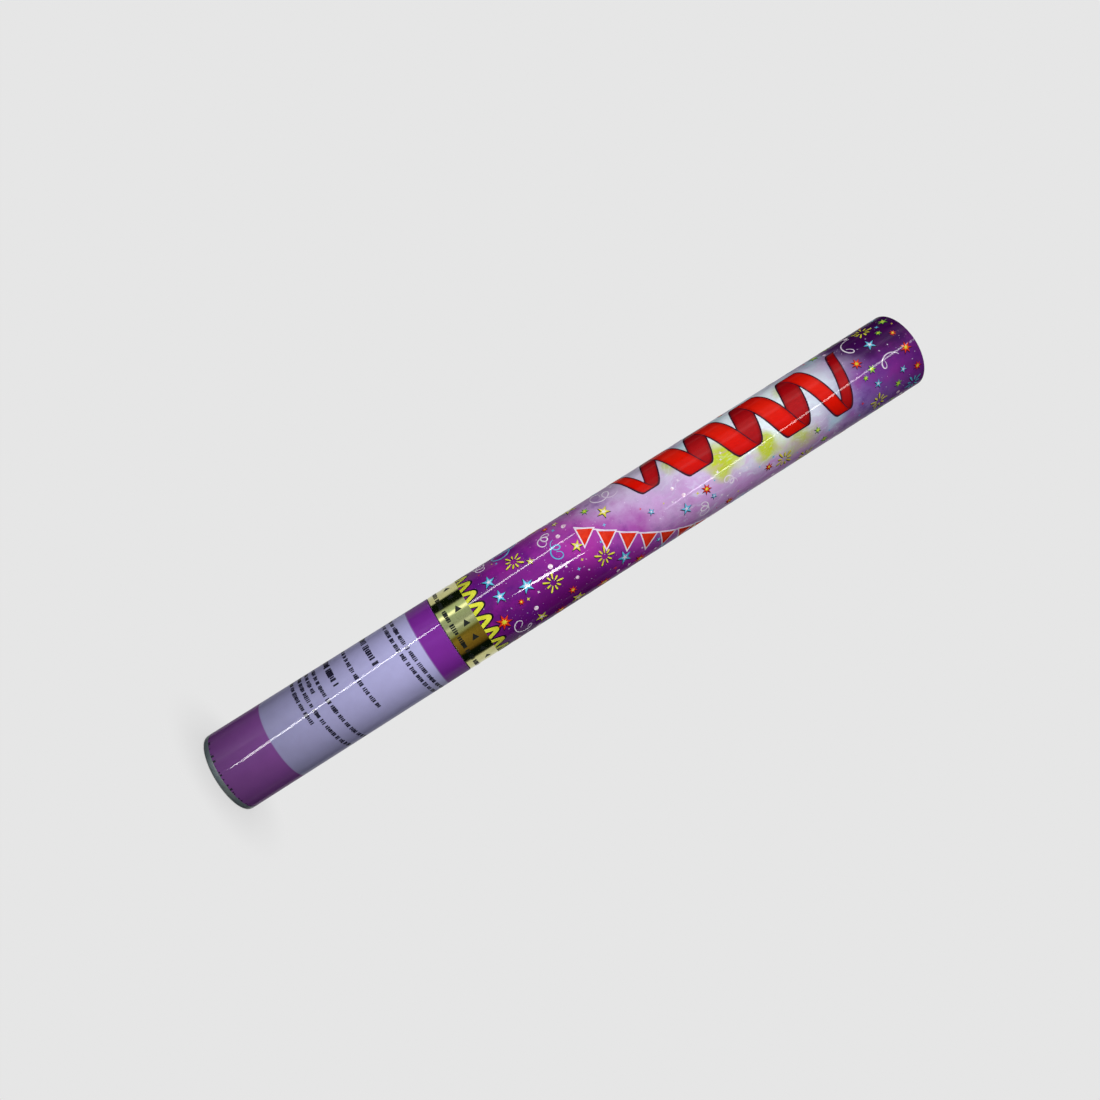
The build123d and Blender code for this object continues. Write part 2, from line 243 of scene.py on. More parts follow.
# Base cap. A moulded polypropylene plug with a rounded grey rim, pushed and glued into the foot of
# the handle tube. Six ribs inside carry the bottle, and a port in its floor leads to the fill valve.
MM = 0.001


def surface(name, roughness, **sockets):
    """New material with a node shader, its Object coordinates, and plain values on its sockets."""
    made = bpy.data.materials.new(name)
    made.use_nodes = True
    shader = made.node_tree.nodes["Principled BSDF"]
    shader.inputs["Roughness"].default_value = roughness
    for label, value in sockets.items():
        shader.inputs[label.replace("_", " ")].default_value = value
    place = node(made.node_tree, "ShaderNodeTexCoord").outputs["Object"]
    return made, made.node_tree, shader, place


def noise(tree, place, size_mm, detail=3.0, rough=0.55):
    """Noise whose lumps are about that large, on a place given in metres."""
    return node(tree, "ShaderNodeTexNoise", {
        "Vector": place, "Scale": 1000 / size_mm, "Detail": detail, "Roughness": rough}).outputs[0]


def grey(level):
    """Colour of one level."""
    return (level,) * 3


def ramp(tree, share, *stops):
    """Colour along a run of (share, colour) stops."""
    made = node(tree, "ShaderNodeValToRGB", {"Fac": share})
    marks = made.color_ramp.elements
    marks[0].position, marks[0].color = stops[0][0], (*stops[0][1], 1)
    marks[1].position, marks[1].color = stops[-1][0], (*stops[-1][1], 1)
    for position, colour in stops[1:-1]:
        marks.new(position).color = (*colour, 1)
    return made.outputs[0]


def bump(tree, shader, height, depth_mm, strength=1.0, over=None):
    """Raises the shader's normal by a height, and returns the normal for further bumps."""
    made = node(tree, "ShaderNodeBump", {"Height": height, "Distance": depth_mm * MM, "Strength": strength})
    if over:
        tree.links.new(over, made.inputs["Normal"])
    tree.links.new(made.outputs[0], shader.inputs["Normal"])
    return made.outputs[0]


def moulded(name, dark, light, roughness=0.4):
    """Moulded plastic: faint flow marks in its colour and a fine sparked texture."""
    made, tree, shader, place = surface(name, roughness)
    flow = noise(tree, place, 9.0, 4.0)
    tree.links.new(ramp(tree, flow, (0.3, dark), (0.7, light)), shader.inputs["Base Color"])
    gloss = ramp(tree, noise(tree, place, 3.0), (0.3, grey(roughness - 0.06)), (0.7, grey(roughness + 0.08)))
    tree.links.new(gloss, shader.inputs["Roughness"])
    bump(tree, shader, noise(tree, place, 0.45, 2.0), 0.02, 0.5)
    return made


def skinned(name, shape, rings, crease):
    """Mesh of closed rings of vertices, each joined to the next and the last to the first."""
    for ring, following in zip(rings, rings[1:] + rings[:1]):
        for step in range(len(ring)):
            beside = (step + 1) % len(ring)
            shape.faces.new((ring[step], ring[beside], following[beside], following[step]))
    bmesh.ops.remove_doubles(shape, verts=shape.verts, dist=1e-7)
    bmesh.ops.dissolve_degenerate(shape, edges=shape.edges, dist=1e-8)
    bmesh.ops.recalc_face_normals(shape, faces=shape.faces)
    mesh = bpy.data.meshes.new(name)
    shape.to_mesh(mesh)
    shape.free()
    mesh.polygons.foreach_set("use_smooth", [True] * len(mesh.polygons))
    mesh.set_sharp_from_angle(angle=math.radians(crease))
    return mesh


def turned(name, outline, steps=144):
    """Mesh turned about Z from a closed outline of (radius, height) points in millimetres."""
    shape = bmesh.new()
    rings = []
    for radius, height in outline:
        rings.append([
            shape.verts.new((radius * MM * math.sin(turn), -radius * MM * math.cos(turn), height * MM))
            for turn in (2 * math.pi * step / steps for step in range(steps))
        ])
    return skinned(name, shape, rings, 35)


def rounded(radius, height, reach, start, end, steps=6):
    """Points of a small arc round (radius, height), for an outline. Angles are in degrees."""
    turns = (math.radians(start + (end - start) * step / steps) for step in range(steps + 1))
    return [(radius + reach * math.cos(turn), height + reach * math.sin(turn)) for turn in turns]


def vector(tree, x=0.0, y=0.0, z=0.0):
    """Vector of three values or sockets."""
    return node(tree, "ShaderNodeCombineXYZ", {0: x, 1: y, 2: z}).outputs[0]


def new_tree(name, **inputs):
    """Geometry node tree with named inputs, given as their socket kind and default value."""
    made = bpy.data.node_groups.new(name, "GeometryNodeTree")
    made.interface.new_socket(name="Geometry", in_out="INPUT", socket_type="NodeSocketGeometry")
    for label, (kind, value) in inputs.items():
        socket = made.interface.new_socket(
            name=label.replace("_", " "), in_out="INPUT", socket_type="NodeSocket" + kind)
        if value is not None:
            socket.default_value = value
    made.interface.new_socket(name="Geometry", in_out="OUTPUT", socket_type="NodeSocketGeometry")
    return made, node(made, "NodeGroupInput").outputs


def ends_in(tree, geometry, material):
    """Closes a tree: what it made becomes real, smooth and painted."""
    real = node(tree, "GeometryNodeRealizeInstances", {"Geometry": geometry})
    smooth = node(tree, "GeometryNodeSetShadeSmooth", {"Geometry": real.outputs[0]})
    painted = node(tree, "GeometryNodeSetMaterial", {"Geometry": smooth.outputs[0], "Material": material})
    node(tree, "NodeGroupOutput", {0: painted.outputs[0]})


def made_by(tree, name, start_mesh, **values):
    """Runs a tree on a mesh and keeps the result as a plain mesh in an object of that name."""
    piece = shown(name, start_mesh)
    run = piece.modifiers.new("make", "NODES")
    run.node_group = tree
    for item in tree.interface.items_tree:
        label = item.name.replace(" ", "_")
        if item.in_out == "INPUT" and label in values:
            run[item.identifier] = values[label]
    result = bpy.data.meshes.new_from_object(piece.evaluated_get(bpy.context.evaluated_depsgraph_get()))
    piece.modifiers.clear()
    piece.data = result
    result.name = name
    result.set_sharp_from_angle(angle=math.radians(40))
    return piece


def points(name, places, **attributes):
    """Mesh of loose points in metres, with named values on them."""
    mesh = bpy.data.meshes.new(name)
    mesh.from_pydata(places, [], [])
    for label, values in attributes.items():
        triple = hasattr(values[0], "__len__")
        layer = mesh.attributes.new(label, "FLOAT_VECTOR" if triple else "FLOAT", "POINT")
        flat = [x for value in values for x in value] if triple else values
        layer.data.foreach_set("vector" if triple else "value", flat)
    return mesh


cap_plastic = moulded("cap_plastic", (0.122, 0.160, 0.176), (0.160, 0.203, 0.216), 0.34)
cap_outline = [
    (3.0, 1.6), (21.15, 1.6), *rounded(21.15, 1.35, 0.25, 90, 0, 3), (21.4, 0.5),
    *rounded(21.9, 0.5, 0.5, 180, 270, 4), *rounded(24.0, 1.6, 1.6, -90, 0, 10),
    *rounded(25.35, 3.55, 0.25, 0, 90, 3), (23.4, 3.8), (23.4, 25.0), (22.6, 25.8), (21.8, 25.8),
    (21.8, 3.8), (5.0, 3.8), (5.0, 7.55), (3.0, 7.55),
]
base_cap = shown("base_cap_shell", turned("base_cap_shell", cap_outline), cap_plastic)
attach(base_cap, "handle")

rib_tree, given = new_tree(
    "cap_ribs", Count=("Int", 6), Inner=("Float", 0.0047), Outer=("Float", 0.0219),
    Thickness=("Float", 0.0016), Bottom=("Float", 0.0036), Top=("Float", 0.0108),
    Material=("Material", None))
spread = maths(rib_tree, "SUBTRACT", given["Outer"], given["Inner"])
tall = maths(rib_tree, "SUBTRACT", given["Top"], given["Bottom"])
rib = node(rib_tree, "GeometryNodeMeshCube", {"Size": vector(rib_tree, spread, given["Thickness"], tall)})
rib_middle = vector(
    rib_tree, x=maths(rib_tree, "MULTIPLY", maths(rib_tree, "ADD", given["Inner"], given["Outer"]), 0.5),
    z=maths(rib_tree, "MULTIPLY", maths(rib_tree, "ADD", given["Bottom"], given["Top"]), 0.5))
placed = node(rib_tree, "GeometryNodeTransform", {0: rib.outputs[0], "Translation": rib_middle})
spots = node(rib_tree, "GeometryNodeMeshLine", {"Count": given["Count"], "Offset": (0, 0, 0)})
turn_step = maths(rib_tree, "DIVIDE", 2 * math.pi, given["Count"])
turn = maths(rib_tree, "MULTIPLY", node(rib_tree, "GeometryNodeInputIndex").outputs[0], turn_step)
spokes = node(rib_tree, "GeometryNodeInstanceOnPoints", {
    "Points": spots.outputs[0], "Instance": placed.outputs[0], "Rotation": vector(rib_tree, z=turn)})
ends_in(rib_tree, spokes.outputs[0], given["Material"])
cap_ribs = made_by(rib_tree, "base_cap_ribs", points("seed", [(0, 0, 0)]), Material=cap_plastic)
cap_ribs.data.polygons.foreach_set("use_smooth", [False] * len(cap_ribs.data.polygons))
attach(cap_ribs, "handle")
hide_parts("base_cap")


# Handle tube. Grey board wound in a spiral from glued strips and cut square. It holds the bottle and
# the head, and only its ends show, in the seam under the barrel.
def blend(tree, share, under, over, mode="MIX"):
    """Colour between two colours or sockets."""
    made = node(tree, "ShaderNodeMix", data_type="RGBA", blend_type=mode)
    for place, value in ((0, share), (6, under), (7, over)):
        if isinstance(value, bpy.types.NodeSocket):
            tree.links.new(value, made.inputs[place])
        else:
            made.inputs[place].default_value = value if place == 0 else (*value, 1)
    return made.outputs[2]


def wound_board(name, dark, light):
    """Spiral-wound board: strips that climb round the tube, with fibres and a thin butt seam."""
    made, tree, shader, place = surface(name, 0.85)
    strip_width = 62 * MM
    climb = maths(tree, "ADD", maths(tree, "MULTIPLY", bearing_at(tree, place), 0.5 / math.pi),
                  maths(tree, "MULTIPLY", parts(tree, place)["Z"], 1 / strip_width))
    strip = maths(tree, "FRACT", climb)
    butt = ramp(tree, strip, (0.0, grey(0.0)), (0.012, grey(1.0)), (0.985, grey(1.0)), (1.0, grey(0.0)))
    fibres = noise(tree, place, 1.2, 6.0, 0.7)
    tone = ramp(tree, fibres, (0.28, dark), (0.72, light))
    seamed = blend(tree, butt, [0.45 * c for c in dark], tone)
    tree.links.new(seamed, shader.inputs["Base Color"])
    over = bump(tree, shader, butt, 0.12, 0.7)
    bump(tree, shader, fibres, 0.05, 0.5, over)
    return made


board = wound_board("board", (0.27, 0.23, 0.18), (0.42, 0.37, 0.30))


def tube_mesh(name, low, high, outer=25.3, inner=23.5, steps=160):
    """Plain tube with its four edges a little softened."""
    soft, end = 0.12, 0.6
    return turned(name, [
        (inner, low + end), *rounded(inner + soft, low + soft, soft, 180, 270, 2),
        *rounded(outer - soft, low + soft, soft, -90, 0, 2), (outer, low + end), (outer, high - end),
        *rounded(outer - soft, high - soft, soft, 0, 90, 2),
        *rounded(inner + soft, high - soft, soft, 90, 180, 2), (inner, high - end),
    ], steps)


handle_tube = shown("handle_board", tube_mesh("handle_board", 3.8, 155.45), board)
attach(handle_tube, "handle")
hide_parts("handle_tube")


# Air bottle. A blown polyethylene bottle that is pumped up through its base and holds the pressure.
# It stands on the ribs of the cap and its neck is screwed into the head.
def dress(node_name, material):
    """Gives a CAD piece its finish."""
    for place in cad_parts[node_name].material_slots:
        place.material = material


dress("air_bottle", moulded("bottle_plastic", (0.60, 0.63, 0.60), (0.72, 0.74, 0.71), 0.3))


# Fill valve. A vented bush snapped into the bottle's base, and a rubber umbrella whose stem is pulled
# through it, so that air goes in and not out.
dress("fill_valve_body", moulded("valve_plastic", (0.52, 0.50, 0.44), (0.64, 0.62, 0.56), 0.36))
seal_rubber = moulded("seal_rubber", (0.016, 0.016, 0.017), (0.030, 0.030, 0.031), 0.6)
dress("fill_valve_flap", seal_rubber)


# Bottle head with its washer and spring ring. A ribbed moulding glued in the top of the handle. Its
# spigot carries the barrel, on a slippery washer and under an open ring of spring steel.
def bright_metal(name, dark, light, roughness):
    """Drawn steel: fine scratches round the piece, in lighter and darker streaks."""
    made, tree, shader, place = surface(name, roughness, Metallic=1.0)
    stretched = node(tree, "ShaderNodeMapping", {"Vector": place, "Scale": (1, 1, 14)}).outputs[0]
    streaks = noise(tree, stretched, 1.6, 4.0)
    tree.links.new(ramp(tree, streaks, (0.3, dark), (0.7, light)), shader.inputs["Base Color"])
    bump(tree, shader, streaks, 0.01, 0.4)
    return made


dress("bottle_head", moulded("head_plastic", (0.56, 0.57, 0.58), (0.68, 0.69, 0.70), 0.38))
dress("thrust_washer", moulded("washer_plastic", (0.62, 0.62, 0.58), (0.74, 0.74, 0.70), 0.45))
dress("retaining_ring", bright_metal("spring_steel", (0.30, 0.31, 0.33), (0.46, 0.47, 0.49), 0.3))


# Cam sleeve, release plug and cross pin. The sleeve is glued in the foot of the barrel. When it turns,
# its two helical slots lift the steel pin, which draws the rubber-ringed plug out of the neck.
dress("cam_sleeve", moulded("sleeve_plastic", (0.10, 0.19, 0.36), (0.15, 0.26, 0.46), 0.36))
dress("release_plug", moulded("plug_plastic", (0.62, 0.30, 0.06), (0.74, 0.38, 0.09), 0.36))
dress("plug_seal", seal_rubber)
dress("cross_pin", bright_metal("pin_steel", (0.42, 0.43, 0.45), (0.62, 0.63, 0.65), 0.22))


# Handle wrap. Printed paper under clear film, rolled round the tube and lapped at the back: a purple
# foot, a lilac panel with rows of fine print, and a purple ring under the seam. Small dark marks along
# the cap's rim are painted shade that stands for pleats in the film.
FILM_RADIUS = 25.6


def film(name, **sockets):
    """Material with the gloss of the clear film: a smooth coat that is a little rippled."""
    made, tree, shader, place = surface(
        name, 0.5, Specular_IOR_Level=0.0, Coat_Weight=0.25, Coat_Roughness=0.045, Coat_IOR=1.5, **sockets)
    waves = noise(tree, place, 2.4, 2.0)
    peel = noise(tree, place, 0.7, 2.0)
    lift = maths(tree, "ADD", waves, maths(tree, "MULTIPLY", peel, 0.36))
    bumped = node(tree, "ShaderNodeBump", {"Height": lift, "Distance": 0.012 * MM, "Strength": 1.0})
    tree.links.new(bumped.outputs[0], shader.inputs["Coat Normal"])
    return made, tree, shader, place


def ink_grain(tree, place, colour, depth=0.10):
    """Colour with the faint mottle and dots of an offset print."""
    mottle = noise(tree, place, 7.0, 3.0)
    dots = noise(tree, place, 0.5, 1.0)
    mixed = maths(tree, "ADD", maths(tree, "MULTIPLY", mottle, 0.7), maths(tree, "MULTIPLY", dots, 0.3))
    shade = ramp(tree, mixed, (0.3, grey(1 - depth)), (0.7, grey(1.0)))
    return blend(tree, 1.0, colour, shade, "MULTIPLY")


def wrap_mesh(name, low, high, rows, steps=288):
    """Rolled sheet as a closed thin shell. At the back one edge lies over the other."""
    inner, lap, lap_reach = 25.35, 0.045, 6.5
    heights = [low + (high - low) * row / rows for row in range(rows + 1)]
    shape = bmesh.new()
    rings = []
    for radius, height in [(inner, low), *((None, height) for height in heights), (inner, high)]:
        ring = []
        for step in range(steps):
            turn = 2 * math.pi * step / steps - math.pi
            past_edge = (turn + math.pi) * FILM_RADIUS
            outer = FILM_RADIUS + lap * max(0.0, 1 - past_edge / lap_reach)
            reach = (radius or outer) * MM
            ring.append(shape.verts.new((reach * math.sin(turn), -reach * math.cos(turn), height * MM)))
        rings.append(ring)
    return skinned(name, shape, rings, 40)


FOOT, PURPLE, LILAC = (0.257, 0.083, 0.345), (0.165, 0.020, 0.256), (0.372, 0.362, 0.605)
handle_print, tree, shader, place = film("handle_print")
ZONES_TOP = 160.0
zones = maths(tree, "MULTIPLY", parts(tree, place)["Z"], 1 / (ZONES_TOP * MM))
ground = ramp(tree, zones, (0.0, FOOT), (37.75 / ZONES_TOP, FOOT), (38.05 / ZONES_TOP, LILAC),
              (139.75 / ZONES_TOP, LILAC), (140.05 / ZONES_TOP, PURPLE), (1.0, PURPLE))
tree.links.new(ink_grain(tree, place, ground, 0.09), shader.inputs["Base Color"])
handle_wrap = shown("handle_film", wrap_mesh("handle_film", 3.8, 155.45, 40), handle_print)
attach(handle_wrap, "handle")
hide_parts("handle_wrap")


def lay_on_tube(tree, geometry, radius, lift):
    """Thickens a flat print, X along the girth and Y up the tube, and bends it round the film."""
    raised = node(tree, "GeometryNodeExtrudeMesh", {
        "Mesh": geometry, "Offset": (0, 0, 1), "Offset Scale": lift, "Individual": False})
    underside = node(tree, "GeometryNodeFlipFaces", {"Mesh": geometry})
    both = node(tree, "GeometryNodeJoinGeometry", {"Geometry": raised.outputs[0]})
    tree.links.new(underside.outputs[0], both.inputs[0])
    closed = node(tree, "GeometryNodeMergeByDistance", {"Geometry": both.outputs[0], "Distance": 1e-7})
    flat = parts(tree, node(tree, "GeometryNodeInputPosition").outputs[0])
    bearing = maths(tree, "DIVIDE", flat["X"], radius)
    reach = maths(tree, "ADD", radius, flat["Z"])
    aside = maths(tree, "MULTIPLY", maths(tree, "SINE", bearing), reach)
    back = maths(tree, "MULTIPLY", maths(tree, "COSINE", bearing), maths(tree, "MULTIPLY", reach, -1.0))
    return node(tree, "GeometryNodeSetPosition", {
        "Geometry": closed.outputs[0], "Position": vector(tree, aside, back, flat["Y"])}).outputs[0]


PRINT_INPUTS = {
    "Radius": ("Float", FILM_RADIUS * MM), "Lift": ("Float", 0.06 * MM), "Material": ("Material", None)}


def ends_on_tube(tree, geometry, given):
    """Closes a tree of flat print: what it made is laid on the tube and painted."""
    ends_in(tree, lay_on_tube(tree, geometry, given["Radius"], given["Lift"]), given["Material"])


def named(tree, label, kind="FLOAT"):
    """Value that the points of a start mesh carry."""
    return node(tree, "GeometryNodeInputNamedAttribute", {"Name": label}, data_type=kind).outputs[0]


fine_tree, given = new_tree("fine_print", Seed=("Int", 11), **PRINT_INPUTS)
wide = node(fine_tree, "FunctionNodeRandomValue", {2: 0.75, 3: 1.35, "Seed": given["Seed"]}).outputs[1]
tall = node(fine_tree, "FunctionNodeRandomValue", {
    2: 0.72, 3: 1.08, "Seed": maths(fine_tree, "ADD", given["Seed"], 1)}).outputs[1]
mark_size = vector(
    fine_tree, maths(fine_tree, "MULTIPLY", wide, named(fine_tree, "stem")),
    maths(fine_tree, "MULTIPLY", tall, named(fine_tree, "tall")), 1.0)
mark = node(fine_tree, "GeometryNodeMeshGrid", {
    "Size X": 1.0, "Size Y": 1.0, "Vertices X": 3, "Vertices Y": 2})
marks = node(fine_tree, "GeometryNodeInstanceOnPoints", {
    "Points": given["Geometry"], "Instance": mark.outputs[0], "Scale": mark_size})
real = node(fine_tree, "GeometryNodeRealizeInstances", {"Geometry": marks.outputs[0]})
ends_on_tube(fine_tree, real.outputs[0], given)


def ink(name, dark, light, lump_mm=4.0):
    """Printed colour under the film, mottled between two shades."""
    made, tree, shader, place = film(name)
    tone = ramp(tree, noise(tree, place, lump_mm, 3.0), (0.32, dark), (0.68, light))
    tree.links.new(tone, shader.inputs["Base Color"])
    return made


def print_rows(rows, seed, slope=0.0):
    """Marks of the fine print: each row is (height, mark height, start, end) in millimetres."""
    chance = random.Random(seed)
    stem_share, advance = 0.36, 1.3
    places, stems, heights = [], [], []
    for height, tall, start, end in rows:
        stem = stem_share * tall
        at = start
        while at < end:
            for mark_number in range(chance.randint(2, 7)):
                places.append((at * MM, (height + slope * at) * MM, 0))
                stems.append(stem * MM)
                heights.append(tall * MM)
                at += advance * stem
                if at > end:
                    break
            at += advance * stem
    return points("rows", places, stem=stems, tall=heights)


panel_ink = ink("panel_ink", (0.010, 0.009, 0.024), (0.026, 0.024, 0.048))
panel_rows = [
    (62.9, 2.6, -36, 4), (68.2, 2.6, -36, 33), (73.0, 2.6, -36, -13), (77.8, 2.6, -36, 36),
    (86.6, 3.9, -36, -9), (98.6, 2.6, -36, 17), (112.2, 3.9, -36, -8), (127.4, 2.6, -36, 38),
    (132.4, 2.6, -36, 38), (66.0, 2.6, 50, 74), (70.8, 2.6, 50, 72), (75.6, 2.6, 50, 60),
    (86.0, 3.9, 50, 68), (97.2, 2.6, 50, 75), (102.0, 2.6, 50, 73), (106.8, 2.6, 50, 74),
    (111.6, 2.6, 50, 64), (123.0, 2.6, 50, 70),
]
fine_print = made_by(fine_tree, "panel_fine_print", print_rows(panel_rows, 5, 0.08), Material=panel_ink)
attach(fine_print, "handle")

# Painted shade: small dark marks along the foot of the wrap stand for the shade in the film's pleats at the
# cap's rim.
pleat = random.Random(17)
pleat_spots = [-79.0]
while pleat_spots[-1] < 78.0:
    pleat_spots.append(pleat_spots[-1] + pleat.uniform(1.2, 4.4))
pleat_sizes = [pleat.uniform(0.6, 1.7) for spot in pleat_spots]
pleat_marks = points(
    "pleats", [(x * MM, (4.0 + 0.35 * size) * MM, 0) for x, size in zip(pleat_spots, pleat_sizes)],
    stem=[0.75 * size * MM for size in pleat_sizes], tall=[0.95 * size * MM for size in pleat_sizes])
pleats = made_by(fine_tree, "film_pleats", pleat_marks, Lift=0.05 * MM,
                 Material=ink("pleat_shade", (0.012, 0.010, 0.022), (0.040, 0.030, 0.060), 1.2))
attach(pleats, "handle")


# Barrel tube. The same wound board as the handle, but longer. Its bore is left bare, so that the
# charge slides, and its square end shows at the muzzle.
barrel_tube = shown("barrel_board", tube_mesh("barrel_board", 156.15, 500.0), board)
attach(barrel_tube, "barrel")
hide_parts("barrel_tube")


# Barrel wrap. Printed paper under clear film, rolled and lapped like the handle's. Its ground is
# airbrushed on a slant: clouded purple at the band, a pale glow with wisps and yellow lights in it,
# and dark purple at the muzzle.
def vectors(tree, operation, first, second):
    """Result of one sum on two vectors or sockets."""
    return node(tree, "ShaderNodeVectorMath", {0: first, 1: second}, operation=operation).outputs[0]


def soft_spot(tree, sheet, centre, reach, edge=0.0):
    """1 in the middle of an oval of the unrolled wrap, falling to 0 at its reach."""
    off = vectors(tree, "SUBTRACT", sheet, (*centre, 0))
    scaled = vectors(tree, "DIVIDE", off, (*reach, 1))
    far = node(tree, "ShaderNodeVectorMath", {0: scaled}, operation="LENGTH").outputs["Value"]
    return node(tree, "ShaderNodeMapRange", {
        "Value": far, "From Min": edge, "From Max": 1.0, "To Min": 1.0, "To Max": 0.0},
        interpolation_type="SMOOTHSTEP").outputs[0]


barrel_print, tree, shader, place = film("barrel_print")
SLANT, SWAY = 1.3, (20, 24, 0)
girth = maths(tree, "MULTIPLY", bearing_at(tree, place), FILM_RADIUS)
height = maths(tree, "MULTIPLY", parts(tree, place)["Z"], 1 / MM)
wander = node(tree, "ShaderNodeTexNoise", {"Vector": place, "Scale": 1000 / 15, "Detail": 3.0}).outputs[1]
sway = vectors(tree, "MULTIPLY", vectors(tree, "SUBTRACT", wander, grey(0.5)), SWAY)
sheet = vectors(tree, "ADD", vector(tree, girth, height), sway)
aside = maths(tree, "MULTIPLY", parts(tree, place)["X"], SLANT / MM)
slanted = maths(tree, "SUBTRACT", parts(tree, sheet)["Y"], aside)
along = node(tree, "ShaderNodeMapRange", {
    "Value": slanted, "From Min": 150.0, "From Max": 525.0}).outputs[0]
ground = ramp(
    tree, along, (0.0, (0.095, 0.0054, 0.13)), (0.12, (0.11, 0.0061, 0.15)), (0.26, (0.22, 0.017, 0.25)),
    (0.32, (0.32, 0.064, 0.34)), (0.39, (0.43, 0.27, 0.50)), (0.67, (0.39, 0.25, 0.49)),
    (0.75, (0.22, 0.13, 0.41)), (0.80, (0.17, 0.050, 0.29)), (0.87, (0.14, 0.018, 0.21)),
    (0.95, (0.059, 0.0054, 0.097)))
clouds = noise(tree, place, 15.0, 5.0, 0.62)
lit = ramp(tree, clouds, (0.50, grey(0.0)), (0.70, grey(0.55)))
ground = blend(tree, lit, ground, (0.29, 0.012, 0.27))
dim = ramp(tree, clouds, (0.30, grey(0.60)), (0.48, grey(0.0)))
ground = blend(tree, dim, ground, (0.074, 0.0049, 0.17))
for centre, reach, edge, colour, depth in (
    ((-14, 386), (42, 88), 0.3, (0.70, 0.79, 0.84), 1.0),
    ((-28, 312), (32, 44), 0.2, (0.58, 0.55, 0.68), 0.75),
    ((2, 306), (24, 26), 0.0, (0.48, 0.30, 0.55), 0.6),
    ((10, 338), (26, 30), 0.0, (0.54, 0.31, 0.63), 0.7),
    ((76, 340), (40, 100), 0.1, (0.63, 0.70, 0.77), 0.9),
    ((-85, 340), (40, 100), 0.1, (0.63, 0.70, 0.77), 0.9),
    ((29, 372), (20, 84), 0.1, (0.51, 0.27, 0.59), 0.75),
    ((-28, 342), (9, 11), 0.0, (0.42, 0.67, 0.72), 0.8),
    ((-17, 330), (12, 15), 0.2, (0.40, 0.47, 0.02), 0.95),
    ((-2, 357), (15, 19), 0.4, (0.45, 0.53, 0.021), 1.0),
    ((-30, 366), (10, 12), 0.1, (0.43, 0.67, 0.72), 0.8),
    ((7, 384), (13, 14), 0.35, (0.45, 0.53, 0.028), 1.0),
    ((16, 404), (12, 15), 0.1, (0.44, 0.51, 0.071), 0.85),
    ((-18, 416), (11, 14), 0.1, (0.45, 0.50, 0.043), 0.85),
    ((18, 430), (11, 14), 0.0, (0.37, 0.60, 0.67), 0.8),
    ((-30, 440), (14, 12), 0.0, (0.37, 0.56, 0.63), 0.7),
    ((66, 318), (15, 19), 0.1, (0.46, 0.51, 0.046), 0.9),
    ((-72, 372), (14, 18), 0.1, (0.46, 0.51, 0.046), 0.9),
    ((20, 236), (24, 36), 0.3, (0.11, 0.0037, 0.12), 0.8),
    ((-5, 252), (22, 20), 0.1, (0.36, 0.028, 0.30), 0.8),
    ((-26, 481), (32, 40), 0.45, (0.039, 0.0032, 0.063), 0.92),
):
    share = maths(tree, "MULTIPLY", soft_spot(tree, sheet, centre, reach, edge), depth)
    ground = blend(tree, share, ground, colour)
streaks = node(tree, "ShaderNodeMapping", {
    "Vector": sheet, "Rotation": (0, 0, 0.7), "Scale": (0.32, 0.07, 1.0)}).outputs[0]
wisps = noise(tree, streaks, 1000.0, 5.0, 0.7)
in_glow = soft_spot(tree, vector(tree, y=height), (0, 374), (1, 92), 0.4)
for low, high, colour in ((0.52, 0.68, (0.67, 0.79, 0.84)), (0.48, 0.32, (0.57, 0.24, 0.57))):
    wisp = ramp(tree, wisps, *sorted(((low, grey(0.0)), (high, grey(0.4)))))
    ground = blend(tree, maths(tree, "MULTIPLY", wisp, in_glow), ground, colour)
specks = ramp(tree, noise(tree, place, 1.1, 0.0), (0.795, grey(0.0)), (0.83, grey(0.6)))
ground = blend(tree, specks, ground, (0.66, 0.56, 0.72))
tree.links.new(ink_grain(tree, place, ground, 0.14), shader.inputs["Base Color"])
barrel_wrap = shown("barrel_film", wrap_mesh("barrel_film", 156.15, 500.0, 80), barrel_print)
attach(barrel_wrap, "barrel")
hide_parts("barrel_wrap")


# Printed streamer. A red paper streamer with a dark outline coils up the pale part of the print, and
# its back shows a deeper red between the coils. A shorter one goes round the back of the barrel.
laid_tree, given = new_tree("laid_print", **PRINT_INPUTS)
ends_on_tube(laid_tree, given["Geometry"], given)


def strip_faces(first, columns, rows):
    """Faces of a strip of points that are listed column by column."""
    corners = (first + column * (rows + 1) + row for column in range(columns) for row in range(rows))
    return [(corner, corner + rows + 1, corner + rows + 2, corner + 1) for corner in corners]


